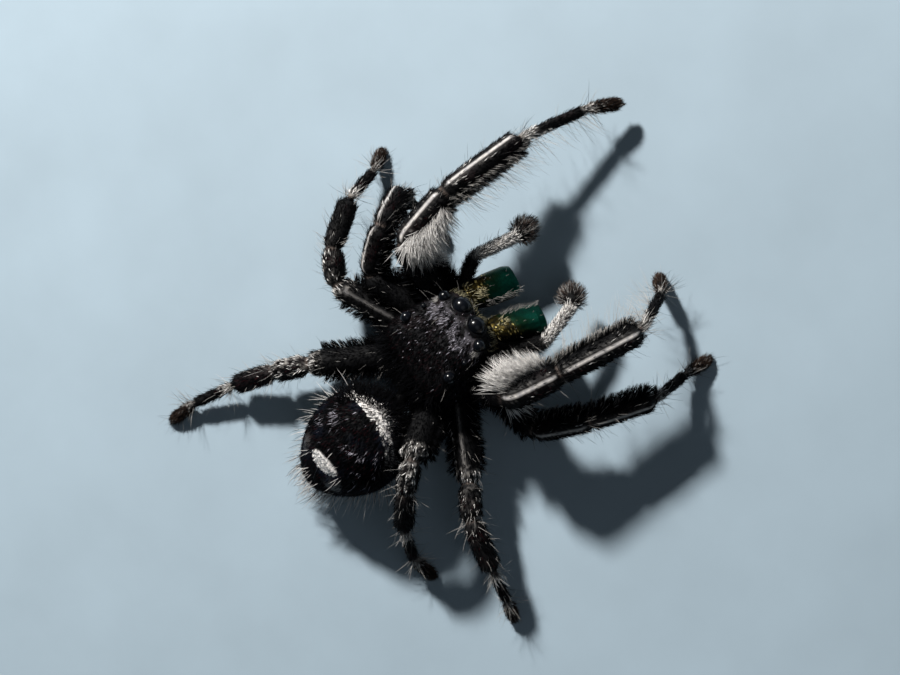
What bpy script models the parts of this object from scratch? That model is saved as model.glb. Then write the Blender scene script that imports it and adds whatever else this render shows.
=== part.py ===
"""A bold jumping spider, adult male, life size, standing with one front leg raised.

The front of the spider faces -Y, its left side is +X and the floor is z = 0.
Lengths below are millimetres and angles are degrees; meshes are made in metres.
A leg is one bent tube, parted at its joints by thin cuts.
"""

import math

import bmesh
import bpy
import numpy as np
from mathutils import Euler, Matrix, Vector

MM = 0.001
CUT = 0.05  # width of the thin cut between two neighbouring solids
SHARP_BEND = math.radians(50.0)  # a tube takes twice the rings round a sharper bend

# The body is carried on bent legs, nose up and leaning a little to its left.
BODY_HEIGHT = 1.95
BODY_PITCH = 14.0
BODY_ROLL = 7.0

# Cephalothorax stations from the face to the waist:
# (y, half width, top, flank bottom, sternum bottom)
HEAD_STATIONS = (
    (-2.14, 0.98, 1.22, 0.42, 0.40),
    (-1.95, 1.26, 1.40, 0.16, 0.10),
    (-1.55, 1.46, 1.55, -0.22, -0.55),
    (-0.90, 1.66, 1.70, -0.42, -0.92),
    (-0.10, 1.86, 1.80, -0.46, -1.00),
    (0.60, 1.98, 1.74, -0.46, -1.00),
    (1.20, 1.88, 1.42, -0.44, -0.94),
    (1.70, 1.48, 0.92, -0.36, -0.72),
    (2.05, 0.86, 0.46, -0.24, -0.36),
)
HEAD_WIDEST_Z = 0.12
HEAD_SQUARENESS = 0.64  # below 1 is boxier than an ellipse
STERNUM_HALF_WIDTH = 0.74
HEAD_SIDES = 20

# (name, x, y, z, radius): four pairs of eyes, left side given
EYES = (
    ("front_main", 0.45, -1.97, 0.98, 0.36),
    ("front_side", 1.12, -1.72, 1.16, 0.22),
    ("small", 1.30, -0.96, 1.40, 0.10),
    ("rear", 1.38, -0.20, 1.54, 0.22),
)

# The abdomen is an egg, carried low at the rear and to the right of the middle line.
ABDOMEN_CENTRE = (-0.63, 4.92, 2.05)
ABDOMEN_LENGTH = 4.9
ABDOMEN_HALF_WIDTH = 1.96
ABDOMEN_TOP = 1.72
ABDOMEN_BOTTOM = 1.50
ABDOMEN_SLOPE = 23.0
ABDOMEN_TURN = 5.0
ABDOMEN_LEAN = 4.0
ABDOMEN_SIDES = 20
ABDOMEN_RINGS = 12

WAIST_RADIUS = 0.34
SPINNERET_LENGTH = 0.55
SPINNERET_RADIUS = 0.17

CHELICERA_LENGTH = 2.25
CHELICERA_HALF_WIDTH = 0.66
CHELICERA_HALF_DEPTH = 0.48
CHELICERA_NECK = 0.68  # size of the base against the widest part
CHELICERA_SIDES = 12
CHELICERA_SQUARENESS = 0.72
CHELICERA_ROOT_X = {"left": 0.88, "right": 0.58}
CHELICERA_ROOT_Y = -1.74
CHELICERA_ROOT_Z = 0.06
# Turn from straight ahead towards the left, and rise
CHELICERA_AIM = {"left": (-10.0, -50.0), "right": (-24.0, -38.0)}
FANG_LENGTH = 0.62
FANG_RADIUS = 0.15
FANG_DEPTH = 0.38  # how far the fang arches away from the chelicera

# Palps: root on the head, then (turn outwards, rise, length) of thigh, arm and bulb
PALP_ROOT = (1.13, -1.50, -0.50)
PALP_RADIUS = 0.26
PALP_BULB_RADIUS = 0.46
PALP_POSE = {
    "left": ((35.0, 13.0, 1.67), (-17.0, -6.0, 1.76), (7.0, -40.0, 1.05)),
    "right": ((38.0, 6.0, 1.84), (-17.5, -6.0, 1.74), (-64.0, -40.0, 1.00)),
}

SEGMENTS = ("femur", "patella", "tibia", "metatarsus", "tarsus")
LEG_SIDES = 10

# For each pair: coxa root and hip on the left of the body, segment lengths,
# thickness radii with their short coat, and how far the fringe hangs below.
LEGS = {
    1: {
        "root": (0.60, -0.84, -0.70),
        "hip": (1.38, -1.10, -0.75),
        "lengths": (3.30, 2.60, 3.40, 2.70, 1.25),
        "radii": (0.50, 0.47, 0.45, 0.29, 0.28),
        "fringe": (0.40, 0.80, 0.55, 0.06, 0.00),
    },
    2: {
        "root": (0.62, -0.22, -0.70),
        "hip": (1.55, -0.35, -0.75),
        "lengths": (2.95, 2.18, 2.55, 1.80, 1.05),
        "radii": (0.45, 0.42, 0.40, 0.28, 0.27),
        "fringe": (0.10, 0.20, 0.20, 0.05, 0.00),
    },
    3: {
        "root": (0.62, 0.46, -0.70),
        "hip": (1.62, 0.55, -0.78),
        "lengths": (3.40, 1.40, 2.05, 1.50, 0.95),
        "radii": (0.45, 0.41, 0.39, 0.29, 0.27),
        "fringe": (0.05, 0.10, 0.10, 0.05, 0.00),
    },
    4: {
        "root": (0.58, 1.14, -0.70),
        "hip": (1.40, 1.70, -0.72),
        "lengths": (3.45, 1.40, 1.80, 1.80, 1.15),
        "radii": (0.45, 0.41, 0.39, 0.29, 0.27),
        "fringe": (0.05, 0.10, 0.10, 0.05, 0.00),
    },
}
COXA_RADIUS = 0.31
TROCHANTER_RADIUS = 0.36
FOOT_HEIGHT = 0.17  # centre of a foot's tip above the floor

# Each segment's (turn outwards from straight ahead, rise). A standing leg's last
# rise is worked out, so that its foot meets the floor.
POSES = {
    ("left", 1): ((92, 38), (5, 2), (-1, -17), (-13, -21), (-27, -26)),
    ("right", 1): ((112, 56), (9, -13), (12, -4), (-39, -60), (-71, None)),
    ("left", 2): ((115, 24), (26, 23), (42, -49), (-100, -27), (-85, None)),
    ("right", 2): ((86, 14), (26, 8), (21, -14), (-7, -47), (6, None)),
    ("left", 3): ((118, 19), (53, 3), (35, -15), (14, -33), (41, None)),
    ("right", 3): ((126, 10), (124, 12), (107, -11), (113, -39), (117, None)),
    ("left", 4): ((153, 11), (153, -2), (158, -15), (164, -11), (175, None)),
    ("right", 4): ((145, 56), (144, -22), (141, -37), (127, -50), (88, None)),
}
SIDE_SIGN = {"left": 1.0, "right": -1.0}

COLOURS = {
    "shell": ((0.012, 0.011, 0.014, 1.0), 0.35, 0.0),
    "belly": ((0.015, 0.014, 0.015, 1.0), 0.60, 0.0),
    "eye": ((0.004, 0.004, 0.006, 1.0), 0.06, 0.0),
    "green": ((0.010, 0.160, 0.110, 1.0), 0.28, 0.7),
    "fang": ((0.050, 0.012, 0.010, 1.0), 0.25, 0.0),
    "palp": ((0.300, 0.290, 0.280, 1.0), 0.70, 0.0),
    "foot": ((0.040, 0.028, 0.024, 1.0), 0.75, 0.0),
}


def make_material(name):
    colour, roughness, metallic = COLOURS[name]
    material = bpy.data.materials.new("spider_" + name)
    material.use_nodes = True
    shader = material.node_tree.nodes["Principled BSDF"]
    shader.inputs["Base Color"].default_value = colour
    shader.inputs["Roughness"].default_value = roughness
    shader.inputs["Metallic"].default_value = metallic
    return material


def body_matrix():
    """From the body's own axes to the standing spider, in millimetres."""
    pitch = Matrix.Rotation(math.radians(-BODY_PITCH), 4, "X")
    roll = Matrix.Rotation(math.radians(BODY_ROLL), 4, "Y")
    return Matrix.Translation((0.0, 0.0, BODY_HEIGHT)) @ pitch @ roll


def direction(turn, rise):
    """Unit vector: turn is towards +X from straight ahead (-Y), rise is above level."""
    turn, rise = math.radians(turn), math.radians(rise)
    return Vector((math.sin(turn) * math.cos(rise), -math.cos(turn) * math.cos(rise), math.sin(rise)))


def mesh_from_rings(name, rings, material, parent):
    """Skin a list of rings of points, close both ends, and make the object."""
    work = bmesh.new()
    loops = [[work.verts.new(Vector(point) * MM) for point in ring] for ring in rings]
    for near, far in zip(loops, loops[1:]):
        for i in range(len(near)):
            j = (i + 1) % len(near)
            work.faces.new((near[i], near[j], far[j], far[i]))
    work.faces.new(loops[0])
    work.faces.new(loops[-1])
    bmesh.ops.recalc_face_normals(work, faces=work.faces)
    return object_from(work, name, material, parent)


def object_from(work, name, material, parent):
    mesh = bpy.data.meshes.new(name)
    work.to_mesh(mesh)
    work.free()
    mesh.shade_smooth()
    mesh.set_sharp_from_angle(angle=math.radians(50.0))
    if material is not None:
        mesh.materials.append(material)
    made = bpy.data.objects.new(name, mesh)
    bpy.context.scene.collection.objects.link(made)
    made.parent = parent
    return made


def hide_helper(helper):
    helper.hide_render = True
    helper.display_type = "WIRE"


def cut_away(piece, cutter):
    cut = piece.modifiers.new("cut_" + cutter.name, "BOOLEAN")
    cut.operation = "DIFFERENCE"
    cut.object = cutter


def power(value, exponent):
    return math.copysign(abs(value) ** exponent, value)


def smooth_stations(stations, count):
    """Stations resampled on a smooth curve through the given ones."""
    table = np.array(stations)
    knots = np.linspace(0.0, 1.0, len(table))
    slopes = np.gradient(table, knots, axis=0)
    rows = []
    for t in np.linspace(0.0, 1.0, count):
        k = min(int(t * (len(table) - 1)), len(table) - 2)
        width = knots[k + 1] - knots[k]
        u = (t - knots[k]) / width
        start = table[k] * (1 + 2 * u) * (1 - u) ** 2 + slopes[k] * width * u * (1 - u) ** 2
        finish = table[k + 1] * u * u * (3 - 2 * u) + slopes[k + 1] * width * u * u * (u - 1)
        rows.append(start + finish)
    return rows


def head_rings(grow):
    """Sections of the cephalothorax: a boxy carapace with the sternum as a low keel."""
    rings = []
    for y, half_width, top, flank, sternum in smooth_stations(HEAD_STATIONS, 11):
        ring = []
        for i in range(HEAD_SIDES):
            angle = 2 * math.pi * i / HEAD_SIDES
            x = (half_width + grow) * power(math.cos(angle), HEAD_SQUARENESS)
            if math.sin(angle) >= 0:
                z = HEAD_WIDEST_Z + (top + grow - HEAD_WIDEST_Z) * power(math.sin(angle), HEAD_SQUARENESS)
            else:
                keel = max(0.0, 1.0 - (x / STERNUM_HALF_WIDTH) ** 2)
                z = HEAD_WIDEST_Z + (flank - grow - HEAD_WIDEST_Z) * abs(math.sin(angle)) ** 0.5
                z += (sternum - flank) * keel
            ring.append((x, y, z))
        rings.append(ring)
    rings[0] = [(x, y - grow, z) for x, y, z in rings[0]]
    rings[-1] = [(x, y + grow, z) for x, y, z in rings[-1]]
    return rings


def egg_width(s):
    """Share of the full width at s, from the front (0) to the rear (1) of the abdomen."""
    return math.sin(math.pi * s**0.80) ** 0.58


def abdomen_rings(grow):
    rings = []
    for k in range(ABDOMEN_RINGS):
        s = 0.012 + 0.976 * (0.5 - 0.5 * math.cos(math.pi * k / (ABDOMEN_RINGS - 1)))
        y = (s - 0.5) * ABDOMEN_LENGTH + grow * (2 * s - 1)
        share = egg_width(s)
        ring = []
        for i in range(ABDOMEN_SIDES):
            angle = 2 * math.pi * i / ABDOMEN_SIDES
            height = ABDOMEN_TOP if math.sin(angle) > 0 else ABDOMEN_BOTTOM
            x = (ABDOMEN_HALF_WIDTH * share + grow) * math.cos(angle)
            ring.append((x, y, (height * share + grow) * math.sin(angle)))
        rings.append(ring)
    return rings


def abdomen_matrix():
    turn = Matrix.Rotation(math.radians(-ABDOMEN_TURN), 4, "Z")
    slope = Matrix.Rotation(math.radians(-ABDOMEN_SLOPE), 4, "X")
    lean = Matrix.Rotation(math.radians(ABDOMEN_LEAN), 4, "Y")
    return Matrix.Translation(ABDOMEN_CENTRE) @ turn @ slope @ lean


def moved(rings, matrix):
    return [[matrix @ Vector(point) for point in ring] for ring in rings]


def rounded_path(corners, trims):
    """The line through the corners with each inner corner rounded off.

    Gives (point, tangent, corner number) rows: a corner's own row is its middle."""
    rows = [(corners[0], (corners[1] - corners[0]).normalized(), 0)]
    for k in range(1, len(corners) - 1):
        before = (corners[k] - corners[k - 1]).normalized()
        after = (corners[k + 1] - corners[k]).normalized()
        start = corners[k] - before * trims[k]
        finish = corners[k] + after * trims[k]
        steps = 4 if before.angle(after) > SHARP_BEND else 2
        for step in range(steps + 1):
            u = step / steps
            point = start * (1 - u) ** 2 + corners[k] * 2 * u * (1 - u) + finish * u * u
            tangent = (before * (1 - u) + after * u).normalized()
            rows.append((point, tangent, k if u == 0.5 else None))
    rows.append((corners[-1], (corners[-1] - corners[-2]).normalized(), len(corners) - 1))
    return rows


def corner_trims(corners, radii):
    """How far before and after each corner its rounding starts."""
    trims = [0.0] * len(corners)
    for k in range(1, len(corners) - 1):
        before = corners[k] - corners[k - 1]
        after = corners[k + 1] - corners[k]
        bend = before.angle(after)
        wanted = 0.12 + 1.25 * radii[k] * math.tan(bend / 2)
        trims[k] = min(wanted, 0.42 * min(before.length, after.length))
    return trims


def tube_ring(point, tangent, under, radius, fringe, sides=LEG_SIDES):
    """A ring across the tube, drawn out on its under side as far as the fringe hangs."""
    down = (under - tangent * under.dot(tangent)).normalized()
    side = tangent.cross(down)
    ring = []
    for i in range(sides):
        angle = 2 * math.pi * i / sides
        hang = fringe * max(0.0, math.cos(angle)) ** 3
        offset = down * (math.cos(angle) * radius + hang) + side * math.sin(angle) * radius
        ring.append(point + offset)
    return ring


def swell(share, joint_share):
    """Thickness along a segment: full in the middle, narrower at the joints."""
    return joint_share + (1 - joint_share) * math.sin(math.pi * min(max(share, 0.0), 1.0)) ** 0.6


def leg_corners(side, pair, body):
    """Coxa root, hip, knee and the other joints, and the tip of one leg."""
    sign = SIDE_SIGN[side]
    design = LEGS[pair]
    corners = []
    for x, y, z in (design["root"], design["hip"]):
        corners.append(body @ Vector((sign * x, y, z)))
    for (turn, rise), length in zip(POSES[side, pair], design["lengths"]):
        if rise is None:
            rise = -math.degrees(math.asin((corners[-1].z - FOOT_HEIGHT) / length))
        corners.append(corners[-1] + direction(sign * turn, rise) * length)
    return corners


def make_leg(side, pair, body, head_cutter, materials, parent):
    design = LEGS[pair]
    corners = leg_corners(side, pair, body)
    hip, tip = corners[1], corners[-1]
    radii = (COXA_RADIUS, TROCHANTER_RADIUS) + design["radii"]
    path = rounded_path(corners, corner_trims(corners, radii))
    marks = [row for row, values in enumerate(path) if values[2] is not None]
    for k, segment in enumerate(SEGMENTS):
        # The thigh's solid also takes in the coxa and the trochanter.
        first = marks[0] if k == 0 else marks[k + 1]
        last = marks[k + 2]
        start, finish = path[marks[k + 1]][0], path[last][0]
        length = (finish - start).length
        rings = []
        for row in range(first, last + 1):
            point, tangent, mark = path[row]
            share = (point - start).dot(finish - start) / length**2
            radius = design["radii"][k] * swell(share, 0.84)
            fringe = design["fringe"][k] * max(0.0, math.sin(math.pi * min(max(share, 0.0), 1.0)))
            if k == 0 and share < 0.12:
                radius = COXA_RADIUS if row == first else TROCHANTER_RADIUS
                fringe = 0.0
            along = 0.0
            if row == first and k > 0:
                along = CUT / 2
            if row == last and k < len(SEGMENTS) - 1:
                along = -CUT / 2
            under = hip.lerp(tip, 0.5) - point
            if k == 0:
                under = Vector((0.0, 0.0, -1.0))
            rings.append((point + tangent * along, tangent, under, radius, fringe))
        rings = with_middle_rings(rings, design["radii"][k], design["fringe"][k])
        if segment == "tarsus":
            rings = with_round_tip(rings, design["radii"][k])
        points = [tube_ring(*ring) for ring in rings]
        name = f"leg_{pair}_{side}_{segment}"
        material = materials["foot" if segment == "tarsus" else "shell"]
        piece = mesh_from_rings(name, points, material, parent)
        if segment == "tarsus" and POSES[side, pair][-1][1] is None:
            flatten_foot(piece)
        if segment == "femur":
            cut_away(piece, head_cutter)
            if pair > 1:
                cut_away(piece, bpy.data.objects[f"leg_{pair - 1}_{side}_femur"])


def with_middle_rings(rings, radius, fringe):
    """Two more rings along the longest straight stretch, at full thickness."""
    gaps = [(rings[i + 1][0] - rings[i][0]).length for i in range(len(rings) - 1)]
    k = gaps.index(max(gaps))
    near, far = rings[k], rings[k + 1]
    middle = []
    for share in (0.33, 0.67):
        point = near[0].lerp(far[0], share)
        tangent = near[1].lerp(far[1], share)
        middle.append((point, tangent, near[2].lerp(far[2], share), radius, fringe))
    return rings[: k + 1] + middle + rings[k + 1 :]


def with_round_tip(rings, radius):
    """The last ring is replaced by a blunt round end."""
    point, tangent, under = rings[-1][:3]
    ends = []
    for angle in (10.0, 48.0, 80.0):
        turned = math.radians(angle)
        forward = tangent * radius * (math.sin(turned) - 0.35)
        ends.append((point + forward, tangent, under, radius * math.cos(turned), 0.0))
    return rings[:-1] + ends


def flatten_foot(piece):
    """The foot is cut level at the floor, which leaves a small flat."""
    work = bmesh.new()
    work.from_mesh(piece.data)
    everything = work.verts[:] + work.edges[:] + work.faces[:]
    floor, up = (0.0, 0.0, 0.0), (0.0, 0.0, 1.0)
    bmesh.ops.bisect_plane(work, geom=everything, dist=1e-9, plane_co=floor, plane_no=up, clear_inner=True)
    rim = [edge for edge in work.edges if edge.is_boundary]
    bmesh.ops.contextual_create(work, geom=rim)
    bmesh.ops.recalc_face_normals(work, faces=work.faces)
    work.to_mesh(piece.data)
    work.free()


def make_eyes(body, head, materials, parent):
    """Each eye is a ball in a socket cut a thin gap wider than the ball."""
    for kind, x, y, z, radius in EYES:
        for side, sign in SIDE_SIGN.items():
            centre = body @ Vector((sign * x, y, z))
            name = f"eye_{kind}_{side}"
            segments = 12 if radius > 0.3 else 10
            ball(name, centre, radius, segments, materials["eye"], parent)
            socket = ball(name + "_socket", centre, radius + CUT, segments, None, parent)
            hide_helper(socket)
            cut_away(head, socket)


def ball(name, centre, radius, segments, material, parent):
    work = bmesh.new()
    bmesh.ops.create_uvsphere(work, u_segments=segments, v_segments=segments // 2, radius=radius * MM)
    piece = object_from(work, name, material, parent)
    piece.location = Vector(centre) * MM
    return piece


def make_chelicerae(body, head_cutter, materials, parent):
    made = {}
    for side, sign in SIDE_SIGN.items():
        aim = (body.to_3x3() @ direction(*CHELICERA_AIM[side])).normalized()
        root = body @ Vector((sign * CHELICERA_ROOT_X[side], CHELICERA_ROOT_Y, CHELICERA_ROOT_Z))
        front = (body.to_3x3() @ Vector((0.0, -1.0, 0.0))).normalized()
        front = (front - aim * front.dot(aim)).normalized()
        across = aim.cross(front)
        rings = []
        for share in (0.0, 0.12, 0.30, 0.50, 0.70, 0.86, 0.96, 1.0):
            # Widest from the middle on, with a short bevel round a flat tip
            widening = math.sin(math.pi / 2 * min(1.0, share / 0.6))
            size = CHELICERA_NECK + (1.0 - CHELICERA_NECK) * widening
            if share > 0.9:
                size *= 1.0 - 1.7 * (share - 0.9)
            ring = []
            for i in range(CHELICERA_SIDES):
                angle = 2 * math.pi * i / CHELICERA_SIDES
                depth = CHELICERA_HALF_DEPTH * size * power(math.cos(angle), CHELICERA_SQUARENESS)
                width = CHELICERA_HALF_WIDTH * size * power(math.sin(angle), CHELICERA_SQUARENESS)
                ring.append(root + aim * CHELICERA_LENGTH * share + front * depth + across * width)
            rings.append(ring)
        chelicera = mesh_from_rings(f"chelicera_{side}", rings, materials["green"], parent)
        cut_away(chelicera, head_cutter)
        # The fang is folded in under the end of the chelicera, towards the middle line.
        inward = across * (1.0 if across.x * sign < 0 else -1.0)
        start = root + aim * (CHELICERA_LENGTH - 0.30) - inward * 0.25 - front * 0.36
        rings = []
        for share in (0.0, 0.25, 0.5, 0.75, 1.0):
            curl = math.radians(25.0 + 75.0 * share)
            point = start + inward * FANG_LENGTH * math.sin(curl) * share
            point -= front * FANG_DEPTH * math.sin(math.pi / 2 * share)
            tangent = (inward * math.sin(curl) - front * (0.9 - 0.6 * share)).normalized()
            radius = FANG_RADIUS * (1.0 - 0.82 * share)
            rings.append(tube_ring(point, tangent, aim, radius, 0.0, 8))
        fang = mesh_from_rings(f"fang_{side}", rings, materials["fang"], parent)
        cut_away(fang, chelicera)
        made[side] = chelicera
    return made


def make_palps(body, head_cutter, chelicerae, materials, parent):
    for side, sign in SIDE_SIGN.items():
        corners = [body @ Vector((sign * PALP_ROOT[0], PALP_ROOT[1], PALP_ROOT[2]))]
        for turn, rise, length in PALP_POSE[side]:
            corners.append(corners[-1] + direction(sign * turn, rise) * length)
        radii = [PALP_RADIUS] * len(corners)
        path = rounded_path(corners[:3], corner_trims(corners[:3], radii))
        under = Vector((0.0, 0.0, -1.0))
        arm = []
        for row, (point, tangent, _) in enumerate(path):
            radius = PALP_RADIUS * (0.72 if row == 0 else 1.0)
            arm.append(tube_ring(point, tangent, under, radius, 0.0))
        piece = mesh_from_rings(f"palp_{side}_arm", arm, materials["palp"], parent)
        cut_away(piece, head_cutter)
        cut_away(piece, chelicerae[side])
        # The swollen end starts a thin gap beyond the arm.
        aim = (corners[3] - corners[2]).normalized()
        length = (corners[3] - corners[2]).length
        start = corners[2] + (corners[2] - corners[1]).normalized() * CUT
        bulb = []
        for share in (0.0, 0.10, 0.28, 0.50, 0.72, 0.90, 0.985):
            size = max(0.30, math.sin(math.pi * min(0.16 + 0.84 * share, 1.0)) ** 0.5)
            blend = min(1.0, share * 3.0)
            tangent = ((corners[2] - corners[1]).normalized() * (1 - blend) + aim * blend).normalized()
            point = start + aim * length * share
            bulb.append(tube_ring(point, tangent, under, PALP_BULB_RADIUS * size, 0.0))
        mesh_from_rings(f"palp_{side}_bulb", bulb, materials["shell"], parent)


def make_waist(body, abdomen, cutters, materials, parent):
    start = body @ Vector((0.0, 1.75, -0.05))
    finish = abdomen @ Vector((0.12, -0.40 * ABDOMEN_LENGTH, -0.55))
    aim = (finish - start).normalized()
    rings = []
    for share in (0.0, 0.25, 0.5, 0.75, 1.0):
        radius = WAIST_RADIUS * (1.0 - 0.14 * math.sin(math.pi * share))
        rings.append(tube_ring(start.lerp(finish, share), aim, Vector((0.0, 0.0, -1.0)), radius, 0.0))
    waist = mesh_from_rings("pedicel", rings, materials["shell"], parent)
    for cutter in cutters:
        cut_away(waist, cutter)


def make_spinnerets(abdomen, abdomen_cutter, materials, parent):
    """Two side spinnerets and a middle one, fused on a low base."""
    rear = abdomen @ Vector((0.0, 0.452 * ABDOMEN_LENGTH, -0.42))
    aim = (abdomen.to_3x3() @ Vector((0.0, 1.0, -0.55))).normalized()
    across = (abdomen.to_3x3() @ Vector((1.0, 0.0, 0.0))).normalized()
    under = Vector((0.0, 0.0, -1.0))
    pieces = []
    for name, offset, sunk, reach in (
        ("spinnerets", 0.0, 0.00, 0.75),
        ("side_a", 0.21, 0.04, 1.0),
        ("side_b", -0.19, 0.07, 1.0),
    ):
        rings = []
        for share, size in ((0.0, 1.25), (0.35, 1.1), (0.75, 0.85), (0.95, 0.5), (1.0, 0.25)):
            point = rear + across * offset * (0.8 + 0.5 * share)
            point += aim * (SPINNERET_LENGTH * reach * share - sunk)
            rings.append(tube_ring(point, aim, under, SPINNERET_RADIUS * size, 0.0, 8))
        pieces.append(mesh_from_rings(name, rings, materials["shell"], parent))
    for other in pieces[1:]:
        hide_helper(other)
        fuse = pieces[0].modifiers.new("fuse_" + other.name, "BOOLEAN")
        fuse.operation = "UNION"
        fuse.object = other
    cut_away(pieces[0], abdomen_cutter)


def stand_on_origin(root):
    """Moves the whole spider so that the middle of its box is over the origin."""
    bpy.context.view_layer.update()
    graph = bpy.context.evaluated_depsgraph_get()
    corners = []
    for piece in root.children:
        if piece.hide_render:
            continue
        shape = piece.evaluated_get(graph)
        corners += [shape.matrix_world @ Vector(corner) for corner in shape.bound_box]
    for axis in (0, 1):
        values = [corner[axis] for corner in corners]
        root.location[axis] = -(min(values) + max(values)) / 2


def main():
    for old in list(bpy.data.objects):
        bpy.data.objects.remove(old, do_unlink=True)
    materials = {name: make_material(name) for name in COLOURS}
    root = bpy.data.objects.new("spider_root", None)
    bpy.context.scene.collection.objects.link(root)

    body = body_matrix()
    abdomen = abdomen_matrix()
    head = mesh_from_rings("cephalothorax", moved(head_rings(0.0), body), materials["shell"], root)
    head_cutter = mesh_from_rings("head_cutter", moved(head_rings(CUT), body), None, root)
    hide_helper(head_cutter)
    mesh_from_rings("abdomen", moved(abdomen_rings(0.0), abdomen), materials["belly"], root)
    abdomen_cutter = mesh_from_rings("abdomen_cutter", moved(abdomen_rings(CUT), abdomen), None, root)
    hide_helper(abdomen_cutter)

    make_eyes(body, head, materials, root)
    chelicerae = make_chelicerae(body, head_cutter, materials, root)
    make_palps(body, head_cutter, chelicerae, materials, root)
    make_waist(body, abdomen, (head_cutter, abdomen_cutter), materials, root)
    make_spinnerets(abdomen, abdomen_cutter, materials, root)
    for side, pair in POSES:
        make_leg(side, pair, body, head_cutter, materials, root)
    stand_on_origin(root)


main()
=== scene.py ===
import math
import bmesh
import bpy
import numpy as np
from mathutils import Matrix, Vector
from mathutils.bvhtree import BVHTree
from mathutils.kdtree import KDTree


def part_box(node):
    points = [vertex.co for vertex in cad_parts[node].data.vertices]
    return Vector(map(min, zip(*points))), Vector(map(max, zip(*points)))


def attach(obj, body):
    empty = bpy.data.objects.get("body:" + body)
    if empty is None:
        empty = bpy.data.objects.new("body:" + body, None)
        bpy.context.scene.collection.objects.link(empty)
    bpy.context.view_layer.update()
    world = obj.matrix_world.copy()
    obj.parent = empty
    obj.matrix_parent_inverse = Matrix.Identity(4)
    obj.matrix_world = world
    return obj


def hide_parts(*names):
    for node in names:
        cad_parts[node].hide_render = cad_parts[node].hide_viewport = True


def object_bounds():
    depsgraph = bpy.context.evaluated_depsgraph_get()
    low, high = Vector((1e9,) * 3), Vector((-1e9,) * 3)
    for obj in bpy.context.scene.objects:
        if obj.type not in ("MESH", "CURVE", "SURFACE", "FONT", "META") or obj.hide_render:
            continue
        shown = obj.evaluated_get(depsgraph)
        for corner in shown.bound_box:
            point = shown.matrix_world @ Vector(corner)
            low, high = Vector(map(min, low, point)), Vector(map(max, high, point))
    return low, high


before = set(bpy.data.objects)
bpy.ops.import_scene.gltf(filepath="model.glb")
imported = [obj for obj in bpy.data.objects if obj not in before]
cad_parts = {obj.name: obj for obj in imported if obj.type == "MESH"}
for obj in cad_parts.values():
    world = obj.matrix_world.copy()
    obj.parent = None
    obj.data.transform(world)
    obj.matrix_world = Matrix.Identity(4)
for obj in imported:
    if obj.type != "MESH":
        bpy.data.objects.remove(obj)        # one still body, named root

# The script works in millimetres; meshes are made in metres.
# The spider faces -Y, its left side is +X and the floor is z = 0.
mm = 0.001
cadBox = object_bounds()
sides = {"left": 1.0, "right": -1.0}
legNames = [(side, pair) for pair in (1, 2, 3, 4) for side in sides]
segments = ("femur", "patella", "tibia", "metatarsus", "tarsus")

# linear colours shared by the skin and the coat
tones = {
    "black": (0.0022, 0.0024, 0.0030),
    # the blue of a painted sheen over black
    "paintedBlueSheen": (0.005, 0.007, 0.013),
    "maroon": (0.018, 0.0045, 0.0060),
    "brown": (0.060, 0.040, 0.031),
    "white": (0.80, 0.79, 0.77),
    "pale": (0.42, 0.41, 0.39),
    "lilac": (0.165, 0.16, 0.185),
    "cream": (0.72, 0.66, 0.40),
    "membrane": (0.11, 0.09, 0.08),
}
tones = {name: np.array(value) for name, value in tones.items()}


def unit(v):
    return v / np.maximum(np.linalg.norm(v, axis=-1, keepdims=True), 1e-12)


def dots(a, b):
    return (a * b).sum(axis=-1, keepdims=True)


def flatTo(v, normals):
    # v laid flat on the surface with these normals
    return unit(v - normals * dots(v, normals))


def smoothStep(value, low, high):
    t = np.clip((value - low) / (high - low), 0.0, 1.0)
    return t * t * (3 - 2 * t)


def bell(value, width):
    return np.exp(-((value / width) ** 2))


def ripple(points, size, seed):
    # soft pseudo-noise between -1 and 1, from a few crossed waves
    rng = np.random.default_rng(seed)
    total = np.zeros(len(points))
    for wave in range(6):
        heading = unit(rng.normal(size=3))
        stretch = 2 * math.pi / size * rng.uniform(0.7, 1.5)
        total += np.sin(points @ heading * stretch + rng.uniform(0, 6.28))
    return total / 3.2


def blendTone(base, other, share):
    return base + (other - base) * np.clip(share, 0.0, 1.0)[:, None]


def layered(base, *layers):
    # each tone laid over the ones before it by its share
    for tone, share in layers:
        base = blendTone(base, tone, share)
    return base


def allOf(tone, count):
    return np.tile(tone, (count, 1))


def heading(view):
    # the direction of an azimuth and an elevation, both in degrees
    turn, rise = math.radians(view["azimuth"]), math.radians(view["elevation"])
    return Vector((math.sin(turn) * math.cos(rise), -math.cos(turn) * math.cos(rise), math.sin(rise)))


def nodePoints(name):
    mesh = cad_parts[name].data
    points = np.empty(len(mesh.vertices) * 3, np.float32)
    mesh.vertices.foreach_get("co", points)
    return np.unique(np.round(points.reshape(-1, 3) / mm, 4), axis=0).astype(float)


def nodeTree(name):
    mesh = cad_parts[name].data
    return BVHTree.FromPolygons([v.co / mm for v in mesh.vertices], [p.vertices[:] for p in mesh.polygons])


def nodeMiddle(name):
    low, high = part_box(name)
    return np.array((low + high) / 2) / mm


def endOf(points, place, count, nearest=False):
    # the middle of the points farthest from a place, or nearest to it
    away = np.linalg.norm(points - place, axis=1)
    return points[np.argsort(away if nearest else -away)[:count]].mean(axis=0)


def between(first, second):
    # the joint of two neighbouring nodes: the middle of the points that face each other
    a, b = nodePoints(first), nodePoints(second)
    gaps = np.linalg.norm(a[:, None] - b[None], axis=2)
    nearA = a[np.argsort(gaps.min(axis=1))[:10]]
    nearB = b[np.argsort(gaps.min(axis=0))[:10]]
    return (nearA.mean(axis=0) + nearB.mean(axis=0)) / 2


# Camera

cameraView = {
    "azimuth": -38.96,
    "elevation": 77.96,
    "roll": -90.0,
    "distance": 110.0,
    "lens": 118.8,
    "sensor": 36.0,
    "clip": (0.005, 5.0),
    "aim": (1.30, 0.09, 0.0),
}


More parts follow.
